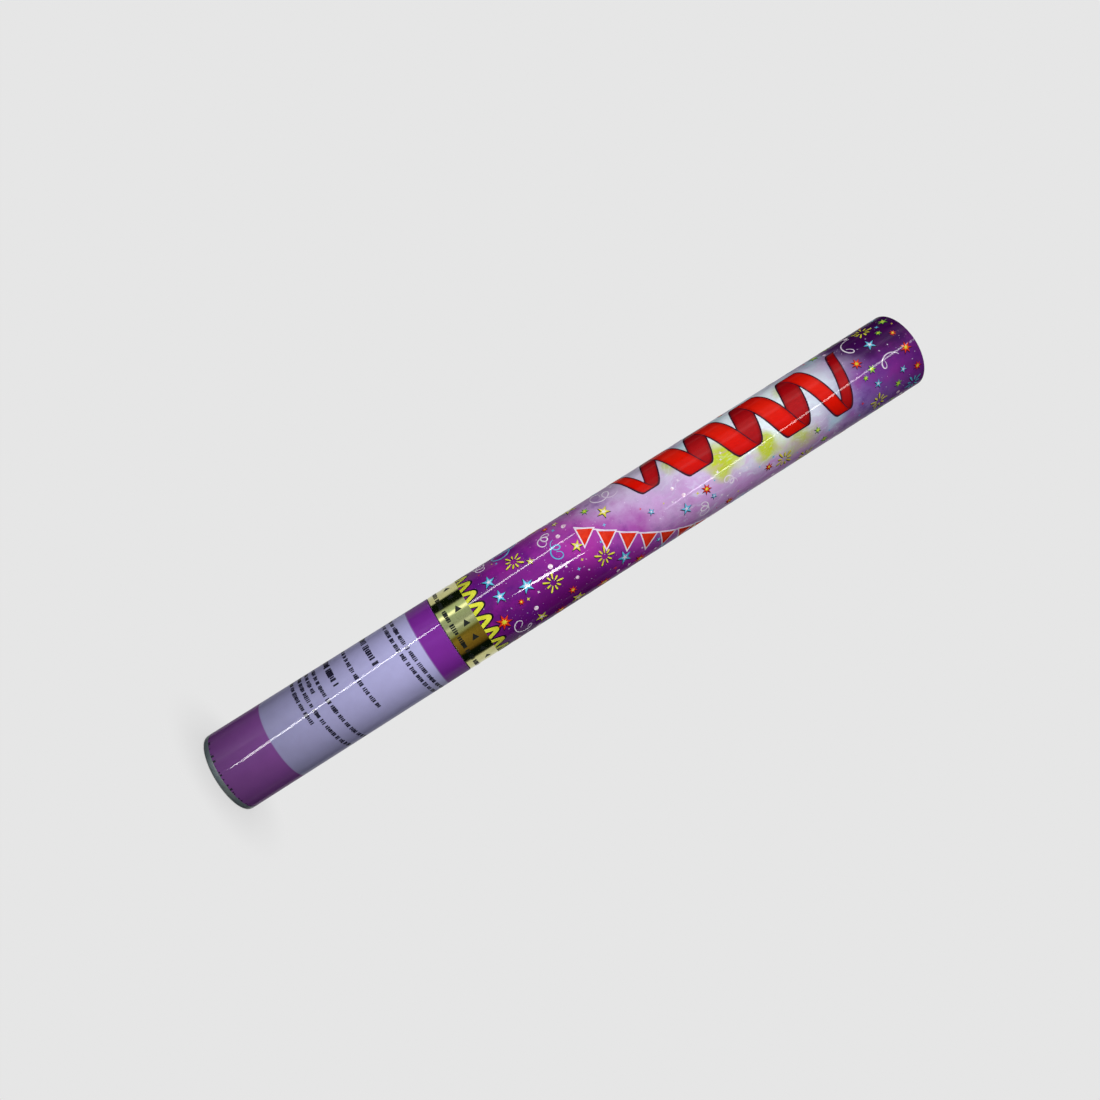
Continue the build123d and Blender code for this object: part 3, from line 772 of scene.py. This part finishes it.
def coil_bands(turn_range, run, swing, width, margin, face):
    """Flat bands of a coiled streamer. face 0 gives the near side of its coils and 1 the far side."""
    (low, high), (start, end) = turn_range, run
    mesh = bpy.data.meshes.new("coil")
    places, quads, folds, widths = [], [], [], []
    columns, rows = 40, 12
    tip, widening, overhang = 0.35, 2.2, 0.06
    drift, growth = (end[0] - start[0]) / (high - low), (swing[1] - swing[0]) / (high - low)

    def fold_at(turn):
        """Turn at which the coil folds over, close to a quarter or three quarters of a turn."""
        reach = swing[0] + growth * (turn - low) + margin
        way = math.copysign(1, math.sin(2 * math.pi * turn))
        return turn + (drift * way + growth) / (4 * math.pi ** 2 * reach)

    for half in range(int(2 * low), int(2 * high) + 1):
        if half % 2 != face:
            continue
        first = len(places)
        opens, closes = fold_at(half / 2 - 0.25), fold_at(half / 2 + 0.25)
        for column in range(columns + 1):
            turn = opens + (closes - opens) * column / columns
            share = (turn - low) / (high - low)
            middle = Vector(start).lerp(Vector(end), share)
            reach = swing[0] + (swing[1] - swing[0]) * share
            from_end = max(0.0, min(share, 1 - share) + overhang)
            taper = width * min(1.0, tip + widening * from_end)
            centre_x = middle.x + (reach + margin) * math.sin(2 * math.pi * turn)
            for row in range(rows + 1):
                off = (row / rows - 0.5) * (taper + 2 * margin)
                places.append((centre_x * MM, (middle.y + off) * MM, 0))
                folds.append(column / columns)
                widths.append(row / rows)
        quads += [quad[::-1] if face else quad for quad in strip_faces(first, columns, rows)]
    mesh.from_pydata(places, [], quads)
    mesh.attributes.new("fold", "FLOAT", "POINT").data.foreach_set("value", folds)
    mesh.attributes.new("across", "FLOAT", "POINT").data.foreach_set("value", widths)
    return mesh


def satin(name, deep, plain, light):
    """Printed satin paper: each length is lightest along its middle and deepens into its folds."""
    made, tree, shader, place = film(name)
    fold = node(tree, "ShaderNodeAttribute", attribute_name="fold").outputs["Fac"]
    across = node(tree, "ShaderNodeAttribute", attribute_name="across").outputs["Fac"]
    shade = ramp(tree, fold, (0.0, deep), (0.20, plain), (0.44, light), (0.66, plain), (1.0, deep))
    rim = ramp(tree, across, (0.0, grey(0.70)), (0.16, grey(1.0)), (0.84, grey(1.0)), (1.0, grey(0.70)))
    tone = blend(tree, 1.0, shade, rim, "MULTIPLY")
    tree.links.new(ink_grain(tree, place, tone, 0.10), shader.inputs["Base Color"])
    return made


streamer_edge = ink("streamer_edge", (0.025, 0.004, 0.014), (0.043, 0.009, 0.023))
streamer_red = satin("streamer_red", (0.40, 0.0013, 0.0013), (0.60, 0.005, 0.0013), (0.67, 0.013, 0.005))
streamer_back = satin("streamer_back", (0.16, 0.0013, 0.0025), (0.30, 0.0025, 0.005), (0.38, 0.0088, 0.011))
front_coil = ((0, 4.5), ((-26, 298), (-4, 446)), (15, 21), 13.5)
rear_coil = ((0, 3.5), ((60, 300), (70, 420)), (9, 14), 9.5)
for side, coil in (("front", front_coil), ("rear", rear_coil)):
    for label, face, margin, lift, material in (
        ("far_edge", 1, 0.9, 0.05, streamer_edge), ("far", 1, 0.0, 0.07, streamer_back),
        ("near_edge", 0, 0.9, 0.09, streamer_edge), ("near", 0, 0.0, 0.11, streamer_red),
    ):
        band = made_by(laid_tree, f"{side}_streamer_{label}", coil_bands(*coil, margin, face),
                       Lift=lift * MM, Material=material)
        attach(band, "barrel")


# Printed ring. A yellow zigzag with a black edge goes round the foot of the barrel and runs in under
# the gold band. Its two ends meet at the lap.
def zigzag_band(low, high, teeth, width):
    """Flat zigzag with rounded tips, as wide everywhere as the nib that draws it."""
    tooth = 2 * math.pi * FILM_RADIUS / teeth
    nib, fine, rows, gap, probes, peak = width / 2, 24, 3, 0.05, 12, 0.14

    def line(x):
        """Middle of the line at a place along the girth."""
        wave = math.cos(2 * math.pi * x / tooth)
        return (low + high) / 2 - (high - low) / 2 * wave * (1 - peak + peak * wave ** 2)

    mesh = bpy.data.meshes.new("zigzag")
    places = []
    columns = teeth * fine
    for column in range(columns + 1):
        x = (column / columns - 0.5) * (teeth * tooth - 2 * gap)
        offs = [step / probes for step in range(-probes, probes + 1)]
        under = [(line(x + nib * off), nib * math.sqrt(1 - off ** 2)) for off in offs]
        bottom, top = min(y - half for y, half in under), max(y + half for y, half in under)
        places += [(x * MM, (bottom + (top - bottom) * row / rows) * MM, 0) for row in range(rows + 1)]
    mesh.from_pydata(places, [], strip_faces(0, columns, rows))
    return mesh


zigzag_ink = ink("zigzag_ink", (0.46, 0.48, 0.023), (0.60, 0.61, 0.049), 6.0)
shadow_ink = ink("shadow_ink", (0.007, 0.003, 0.010), (0.019, 0.007, 0.024))
for label, width, lift, rise, material in (
    ("shadow", 3.9, 0.05, 0.5, shadow_ink), ("face", 2.4, 0.07, 0.0, zigzag_ink)):
    band = zigzag_band(172.4 + rise, 182.6 + rise, 18, width)
    trim = made_by(laid_tree, f"zigzag_{label}", band, Lift=lift * MM, Material=material)
    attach(trim, "barrel")


# Printed stars, pearls, curls, bursts and sparkles, strewn over the whole barrel between the streamers,
# in cyan, red, yellow, green and white.
motif_tree, given = new_tree(
    "printed_motif", Corners=("Int", 5), Waist=("Float", 0.42), Detail=("Int", 1), **PRINT_INPUTS)
outline = node(motif_tree, "GeometryNodeCurveStar", {
    "Points": given["Corners"], "Inner Radius": given["Waist"], "Outer Radius": 1.0})
filled = node(motif_tree, "GeometryNodeFillCurve", {"Curve": outline.outputs[0]}, mode="TRIANGLES")
finer = node(motif_tree, "GeometryNodeSubdivideMesh", {"Mesh": filled.outputs[0], "Level": given["Detail"]})
strewn = node(motif_tree, "GeometryNodeInstanceOnPoints", {
    "Points": given["Geometry"], "Instance": finer.outputs[0],
    "Rotation": vector(motif_tree, z=named(motif_tree, "turn")),
    "Scale": named(motif_tree, "size", "FLOAT_VECTOR")})
real = node(motif_tree, "GeometryNodeRealizeInstances", {"Geometry": strewn.outputs[0]})
ends_on_tube(motif_tree, real.outputs[0], given)

stroke_tree, given = new_tree("printed_stroke", Width=("Float", 1.0 * MM), **PRINT_INPUTS)
path = node(stroke_tree, "GeometryNodeMeshToCurve", {"Mesh": given["Geometry"]})
level = node(stroke_tree, "GeometryNodeSetCurveNormal", {"Curve": path.outputs[0]}, mode="Z_UP")
left, right = (maths(stroke_tree, "MULTIPLY", given["Width"], share) for share in (-0.5, 0.5))
nib = node(stroke_tree, "GeometryNodeCurvePrimitiveLine", {
    "Start": vector(stroke_tree, left), "End": vector(stroke_tree, right)})
nib_points = node(stroke_tree, "GeometryNodeResampleCurve", {"Curve": nib.outputs[0], "Count": 4})
drawn = node(stroke_tree, "GeometryNodeCurveToMesh", {
    "Curve": level.outputs[0], "Profile Curve": nib_points.outputs[0], "Scale": named(stroke_tree, "press")})
ends_on_tube(stroke_tree, drawn.outputs[0], given)


def stroke_paths(paths):
    """Mesh of open lines for the stroke tree. Each path is a list of (girth, height, press)."""
    mesh = bpy.data.meshes.new("strokes")
    places, lines, presses = [], [], []
    for path in paths:
        first = len(places)
        for across_mm, up_mm, press in path:
            places.append((across_mm * MM, up_mm * MM, 0))
            presses.append(press)
        lines += [(first + i, first + i + 1) for i in range(len(path) - 1)]
    mesh.from_pydata(places, lines, [])
    mesh.attributes.new("press", "FLOAT", "POINT").data.foreach_set("value", presses)
    return mesh


strew = random.Random(41)
STREWN_HALF, COIL_STEPS, COIL_ROOM = 72, 59, 0.62
bunting_room = [(-12, 258, 7), (8, 282, 9), (24, 310, 9), (38, 338, 8)]
taken = list(bunting_room)
for (turns, run, swing, width) in (front_coil, rear_coil):
    for step in range(COIL_STEPS + 1):
        share = step / COIL_STEPS
        middle = Vector(run[0]).lerp(Vector(run[1]), share)
        reach = swing[0] + (swing[1] - swing[0]) * share
        aside = reach * math.sin(2 * math.pi * turns[1] * share)
        taken.append((middle.x + aside, middle.y, width * COIL_ROOM))


def free_spot(low, high, reach, tries=160):
    """Place on the unrolled wrap that keeps clear of what is there already, or nothing."""
    for attempt in range(tries):
        x, y = strew.uniform(-STREWN_HALF, STREWN_HALF), strew.uniform(low, high)
        if all(math.hypot(x - a, y - b) > reach + c for a, b, c in taken):
            taken.append((x, y, reach))
            return x, y
    return None


INKS = {
    "cyan": ink("cyan_ink", (0.044, 0.32, 0.51), (0.12, 0.45, 0.65)),
    "red": ink("red_ink", (0.51, 0.015, 0.0049), (0.63, 0.035, 0.011)),
    "yellow": ink("yellow_ink", (0.52, 0.48, 0.022), (0.67, 0.61, 0.071)),
    "green": ink("green_ink", (0.15, 0.40, 0.027), (0.28, 0.55, 0.071)),
    "white": ink("white_ink", (0.55, 0.45, 0.59), (0.71, 0.67, 0.72)),
}

burst_paths = {"yellow": [], "cyan": []}
BURST_RAYS, BURST_ROOM, LONG_RAY, SHORT_RAY = 9, 7.2, 6.6, 5.0
for number, (low, high) in enumerate([(192, 280)] * 6 + [(300, 446)] * 3 + [(460, 492)] * 4):
    spot = free_spot(low, high, BURST_ROOM)
    if spot:
        turn = strew.uniform(0, 1.0)
        for ray in range(BURST_RAYS):
            way = turn + 2 * math.pi * ray / BURST_RAYS
            reach = LONG_RAY if ray % 2 else SHORT_RAY
            burst_paths["cyan" if number % 3 == 1 else "yellow"].append([
                (spot[0] + d * math.cos(way), spot[1] + d * math.sin(way), p)
                for d, p in ((2.0, 0.4), (reach * 0.5, 0.8), (reach * 0.8, 1.1), (reach, 0.7))])
for colour, paths in burst_paths.items():
    for label, width, lift, shift, material in (
        ("shadow", 1.5, 0.05, 0.3, shadow_ink), ("face", 1.0, 0.08, 0.0, INKS[colour])):
        moved = [[(x + shift, y - shift, p) for x, y, p in path] for path in paths]
        bursts = made_by(stroke_tree, f"{colour}_bursts_{label}", stroke_paths(moved), Width=width * MM,
                         Lift=lift * MM, Material=material)
        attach(bursts, "barrel")


def curl(x, y, reach, turn, loops, hand):
    """Loose end of a ribbon: a wave that closes into one or two loops."""
    steps, length, tighter, wide, tall = 60, 1.5, 0.45, 0.55, 0.6
    thin, swell = 0.45, 0.75
    path = []
    for step in range(steps + 1):
        share = step / steps
        sweep = hand * loops * 2 * math.pi * share
        spread = reach * (1.0 - tighter * share)
        along_x = reach * length * (share - 0.5) + spread * wide * math.cos(sweep)
        along_y = spread * tall * math.sin(sweep)
        path.append((x + along_x * math.cos(turn) - along_y * math.sin(turn),
                     y + along_x * math.sin(turn) + along_y * math.cos(turn),
                     thin + swell * math.sin(math.pi * share)))
    return path


curl_paths = {"white": [], "cyan": []}
for low, high, count in ((190, 288, 13), (294, 450, 12), (456, 494, 8)):
    for number in range(count):
        reach = strew.uniform(4.6, 10.0)
        spot = free_spot(low, high, reach * 0.8)
        if spot:
            turn, loops = strew.uniform(0, 3.14), strew.choice((1.0, 1.5, 2.0, 2.5))
            path = curl(*spot, reach, turn, loops, strew.choice((-1, 1)))
            curl_paths["cyan" if number % 3 == 2 else "white"].append(path)
for colour, paths in curl_paths.items():
    curls = made_by(stroke_tree, f"{colour}_curls", stroke_paths(paths), Width=0.66 * MM, Lift=0.08 * MM,
                    Material=INKS[colour])
    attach(curls, "barrel")

star_places = {colour: [] for colour in INKS}
for low, high, count, colours, span in (
    (187, 292, 22, ("cyan", "red", "yellow", "red", "cyan", "yellow"), (3.8, 5.6)),
    (187, 300, 26, ("cyan", "red", "yellow", "green", "red", "cyan"), (1.8, 3.2)),
    (296, 452, 44, ("red", "green", "cyan", "red", "cyan"), (2.0, 4.0)),
    (456, 496, 28, ("green", "red", "cyan", "green"), (1.8, 4.4)),
):
    for number in range(count):
        radius = strew.uniform(*span)
        spot = free_spot(low, high, radius + 0.7)
        if spot:
            star_places[colours[number % len(colours)]].append((*spot, radius, strew.uniform(0, 6.28)))
for colour, corners, waist, core_ink in (
    ("cyan", 5, 0.36, "white"), ("red", 7, 0.42, "yellow"),
    ("yellow", 5, 0.38, "white"), ("green", 6, 0.38, "yellow"),
):
    group = star_places[colour]
    for label, grow, shift, lift, material in (
        ("shadow", 1.18, 0.30, 0.05, shadow_ink), ("face", 1.0, 0.0, 0.08, INKS[colour]),
        ("core", 0.44, 0.0, 0.10, INKS[core_ink])):
        start = points("stars", [((x + shift) * MM, (y - shift) * MM, 0) for x, y, r, t in group],
                       size=[(r * grow * MM,) * 3 for x, y, r, t in group], turn=[t for x, y, r, t in group])
        stars = made_by(motif_tree, f"{colour}_stars_{label}", start, Corners=corners, Waist=waist,
                        Lift=lift * MM, Material=material)
        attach(stars, "barrel")

pearl_ink, tree, shader, place = film("pearl_ink")
tone = ramp(tree, noise(tree, place, 1.6, 1.0), (0.35, (0.55, 0.29, 0.45)), (0.6, (0.76, 0.73, 0.79)))
tree.links.new(tone, shader.inputs["Base Color"])
pearls = [spot for spot in (free_spot(low, high, 2.4) for low, high in
                            [(190, 288)] * 18 + [(292, 452)] * 14 + [(458, 496)] * 6) if spot]
start = points("pearls", [(x * MM, y * MM, 0) for x, y in pearls],
               size=[(strew.uniform(0.9, 1.7) * MM,) * 3 for spot in pearls], turn=[0.0] * len(pearls))
pearl_dots = made_by(motif_tree, "pearl_dots", start, Corners=9, Waist=0.98, Lift=0.08 * MM,
                     Material=pearl_ink)
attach(pearl_dots, "barrel")

for colour, count in (("white", 56), ("cyan", 22), ("yellow", 22), ("red", 18)):
    group = [spot for spot in (free_spot(187, 497, 1.5, 40) for number in range(count)) if spot]
    start = points("sparkles", [(x * MM, y * MM, 0) for x, y in group],
                   size=[(strew.uniform(0.6, 1.5) * MM,) * 3 for spot in group],
                   turn=[strew.uniform(0, 1.57) for spot in group])
    sparkles = made_by(motif_tree, f"{colour}_sparkles", start, Corners=4, Waist=0.34, Lift=0.07 * MM,
                       Material=INKS[colour])
    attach(sparkles, "barrel")


# Printed bunting. A string of small red pennants with white borders hangs slantwise across the lower
# end of the glow.
string_start, string_end, sag, flags, drop = Vector((-15, 254)), Vector((41, 346)), 5.0, 8, 3.9
string_steps = 48
run = string_end - string_start
hang = Vector((run.y, -run.x)).normalized()


def on_string(share, below=0.0):
    """Place at a share of the sagging string, or so far below it."""
    return string_start + run * share + hang * (sag * 4 * share * (1 - share) + below)


string = [(*on_string(step / string_steps), 1.0) for step in range(string_steps + 1)]
pennants = [on_string((number + 0.5) / flags, drop) for number in range(flags)]
bunting_string = made_by(stroke_tree, "bunting_string", stroke_paths([string]), Width=0.8 * MM,
                         Lift=0.12 * MM, Material=INKS["white"])
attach(bunting_string, "barrel")
for label, grow, lift, material in (("border", 1.26, 0.10, INKS["white"]), ("face", 1.0, 0.13, INKS["red"])):
    start = points("pennants", [(p.x * MM, p.y * MM, 0) for p in pennants],
                   size=[(7.0 * grow * MM, 5.9 * grow * MM, MM)] * flags,
                   turn=[math.atan2(hang.y, hang.x)] * flags)
    cloths = made_by(motif_tree, f"bunting_{label}", start, Corners=3, Waist=0.5, Detail=2, Lift=lift * MM,
                     Material=material)
    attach(cloths, "barrel")


# Foil band. Mirror-gold film glued round the foot of the barrel, over the print, with black triangles
# that point the way the barrel turns and a row of fine print.
gold_film, tree, shader, place = surface("gold_film", 0.11, Metallic=1.0)
slack = node(tree, "ShaderNodeMapping", {"Vector": place, "Scale": (1, 1, 0.22)}).outputs[0]
crinkle = noise(tree, slack, 7.0, 1.5, 0.4)
scuffs = noise(tree, place, 0.8, 2.0)
tone = ramp(tree, maths(tree, "MULTIPLY", maths(tree, "ADD", crinkle, scuffs), 0.5),
            (0.36, (0.46, 0.44, 0.17)), (0.62, (0.62, 0.60, 0.27)))
tree.links.new(tone, shader.inputs["Base Color"])
bump(tree, shader, crinkle, 0.16, 0.9)
foil_outline = [(25.6, 156.15), (25.68, 156.15), (25.7, 156.17), (25.7, 156.6), (25.7, 162.7), (25.7, 169.1),
                (25.7, 175.2), (25.7, 175.63), (25.68, 175.65), (25.6, 175.65)]
foil_band = shown("foil_sleeve", turned("foil_sleeve", foil_outline, 288), gold_film)
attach(foil_band, "barrel")
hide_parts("foil_band")

black_ink = ink("black_ink", (0.006, 0.008, 0.008), (0.014, 0.016, 0.015))
ARROWS = 16
pitch = 2 * math.pi * FILM_RADIUS / ARROWS
arrows = points("arrows", [((i - ARROWS / 2) * pitch * MM, 169.0 * MM, 0) for i in range(ARROWS)],
                size=[(2.6 * MM, 2.7 * MM, MM)] * ARROWS, turn=[math.pi] * ARROWS)
turn_arrows = made_by(motif_tree, "turn_arrows", arrows, Corners=3, Waist=0.5, Lift=0.13 * MM,
                      Material=black_ink)
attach(turn_arrows, "barrel")
band_row = made_by(fine_tree, "band_fine_print", print_rows([(160.9, 3.0, -79, 78)], 9), Lift=0.13 * MM,
                   Material=black_ink)
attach(band_row, "barrel")
for piece in (foil_band, turn_arrows, band_row):
    not_in_lines.objects.link(piece)
for member in not_in_lines.collection_objects:
    member.light_linking.link_state = "EXCLUDE"


# Wad. A pressed cup of grey card that fits the bore loosely. The air strikes its floor and it pushes
# the confetti out.
def pressed_card(name, dark, light):
    """Card: short fibres, a few darker flecks and a soft tooth."""
    made, tree, shader, place = surface(name, 0.8)
    fibres = noise(tree, place, 1.1, 7.0, 0.75)
    flecks = ramp(tree, noise(tree, place, 0.8, 2.0), (0.66, grey(1.0)), (0.74, grey(0.72)))
    tone = ramp(tree, fibres, (0.3, dark), (0.7, light))
    tree.links.new(blend(tree, 1.0, tone, flecks, "MULTIPLY"), shader.inputs["Base Color"])
    bump(tree, shader, fibres, 0.06, 0.6)
    return made


wad_card = pressed_card("wad_card", (0.33, 0.31, 0.27), (0.46, 0.43, 0.38))
wad_outline = [
    (0, 181.4), (22.6, 181.4), *rounded(22.6, 182.0, 0.6, -90, 0, 4), (23.2, 193.2),
    *rounded(23.0, 193.2, 0.2, 0, 90, 2), (22.0, 193.4), (22.0, 183.2),
    *rounded(21.6, 183.2, 0.4, 0, -90, 3), (0, 182.8),
]
wad = shown("wad_cup", turned("wad_cup", wad_outline), wad_card)
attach(wad, "charge")
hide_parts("wad")


# Confetti. Five layers of upright tissue slips, each of one colour: four stacks to a layer, turned a
# quarter from each other, packed by hand so that no two slips stand quite level.
slip_tree, given = new_tree(
    "confetti_layer", Slips=("Int", 26), First=("Float", 0.0006), Pitch=("Float", 0.00056),
    Width=("Float", 0.0144), Length=("Float", 0.0488), Thickness=("Float", 0.00030),
    Bottom=("Float", 0.183), Seed=("Int", 3), Material=("Material", None))


def for_each_slip(low, high, seed_step):
    """Random number for each slip."""
    seed = maths(slip_tree, "ADD", given["Seed"], seed_step)
    return node(slip_tree, "FunctionNodeRandomValue", {2: low, 3: high, "Seed": seed}).outputs[1]


SLIP_GAP = 0.6 * MM
leaf = node(slip_tree, "GeometryNodeMeshCube", {
    "Size": vector(slip_tree, given["Thickness"], given["Width"], given["Length"]),
    "Vertices Y": 3, "Vertices Z": 6})
beside = maths(slip_tree, "ADD", maths(slip_tree, "MULTIPLY", given["Width"], 0.5), SLIP_GAP)
above = maths(slip_tree, "ADD", maths(slip_tree, "MULTIPLY", given["Length"], 0.5), SLIP_GAP)
line = node(slip_tree, "GeometryNodeMeshLine", {
    "Count": given["Slips"],
    "Start Location": vector(
        slip_tree, given["First"], beside, maths(slip_tree, "ADD", given["Bottom"], above)),
    "Offset": vector(slip_tree, given["Pitch"])})
shuffle = vector(slip_tree, y=for_each_slip(-0.0003, 0.0003, 7), z=for_each_slip(-0.0005, 0.0008, 8))
loose = node(slip_tree, "GeometryNodeSetPosition", {"Geometry": line.outputs[0], "Offset": shuffle})
lean = vector(slip_tree, for_each_slip(-0.012, 0.012, 1), for_each_slip(-0.0030, 0.0030, 2),
              for_each_slip(-0.010, 0.010, 3))
trim = vector(slip_tree, 1.0, for_each_slip(0.90, 1.0, 4), for_each_slip(0.94, 1.0, 5))
stack = node(slip_tree, "GeometryNodeInstanceOnPoints", {
    "Points": loose.outputs[0], "Instance": leaf.outputs[0], "Rotation": lean, "Scale": trim})
shade = node(slip_tree, "GeometryNodeStoreNamedAttribute", {
    "Geometry": stack.outputs[0], "Name": "shade", "Value": for_each_slip(0.0, 1.0, 6)},
    data_type="FLOAT", domain="INSTANCE")
real = node(slip_tree, "GeometryNodeRealizeInstances", {"Geometry": shade.outputs[0]})
where = node(slip_tree, "GeometryNodeInputPosition").outputs[0]
wander = node(slip_tree, "ShaderNodeTexNoise", {"Vector": where, "Scale": 60.0, "Detail": 1.0}).outputs[1]
cockle = vectors(slip_tree, "MULTIPLY", vectors(slip_tree, "SUBTRACT", wander, grey(0.5)),
                 (0.0018, 0.001, 0.001))
one_stack = node(slip_tree, "GeometryNodeSetPosition", {"Geometry": real.outputs[0], "Offset": cockle})
quarters = node(slip_tree, "GeometryNodeMeshLine", {"Count": 4, "Offset": (0, 0, 0)})
quarter = node(slip_tree, "GeometryNodeInputIndex").outputs[0]
four = node(slip_tree, "GeometryNodeInstanceOnPoints", {
    "Points": quarters.outputs[0], "Instance": one_stack.outputs[0],
    "Rotation": vector(slip_tree, z=maths(slip_tree, "MULTIPLY", quarter, math.pi / 2))})
ends_in(slip_tree, four.outputs[0], given["Material"])

FIRST_LAYER, LAYER_PITCH = 183.0, 50.5
LAYER_COLOURS = (
    ("confetti_red", (0.36, 0.006, 0.006), (0.74, 0.050, 0.030)),
    ("confetti_yellow", (0.58, 0.36, 0.008), (0.84, 0.66, 0.060)),
    ("confetti_blue", (0.006, 0.07, 0.30), (0.040, 0.28, 0.68)),
    ("confetti_green", (0.010, 0.17, 0.018), (0.10, 0.48, 0.080)),
    ("confetti_pink", (0.46, 0.04, 0.18), (0.82, 0.26, 0.46)),
)
for number, (slot_name, dark, light) in enumerate(LAYER_COLOURS):
    tissue, tree, shader, place = surface(slot_name, 0.62, Specular_IOR_Level=0.2)
    shade = node(tree, "ShaderNodeAttribute", attribute_name="shade").outputs["Fac"]
    fibre = noise(tree, place, 2.2, 5.0, 0.7)
    mixed = maths(tree, "ADD", maths(tree, "MULTIPLY", shade, 0.75), maths(tree, "MULTIPLY", fibre, 0.25))
    tree.links.new(ramp(tree, mixed, (0.05, dark), (0.9, light)), shader.inputs["Base Color"])
    over = bump(tree, shader, noise(tree, place, 6.0, 3.0), 0.5, 0.7)
    bump(tree, shader, fibre, 0.03, 0.4, over)
    layer = made_by(slip_tree, f"slips_{number + 1}", points("seed", [(0, 0, 0)]),
                    Bottom=(FIRST_LAYER + LAYER_PITCH * number) * MM, Seed=3 + 10 * number, Material=tissue)
    layer.data.polygons.foreach_set("use_smooth", [False] * len(layer.data.polygons))
    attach(layer, "charge")
    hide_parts(f"confetti_layer_{number + 1}")


# Muzzle lid. A shallow pressed card cap, pushed flush into the muzzle, with a shallow round bead that
# stiffens its plate.
lid_card = pressed_card("lid_card", (0.66, 0.65, 0.61), (0.80, 0.79, 0.75))
lid_outline = [
    (0, 498.4), (22.2, 498.4), *rounded(22.2, 498.15, 0.25, 90, 0, 2), (22.45, 491.4), (23.35, 491.4),
    (23.35, 498.9), *rounded(22.85, 498.9, 0.5, 0, 90, 4), (19.4, 499.4), (19.0, 499.25), (18.4, 498.95),
    (17.8, 499.25), (17.4, 499.4), (0, 499.4),
]
lid = shown("muzzle_cap", turned("muzzle_cap", lid_outline), lid_card)
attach(lid, "lid")
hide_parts("muzzle_lid")


bpy.context.view_layer.update()
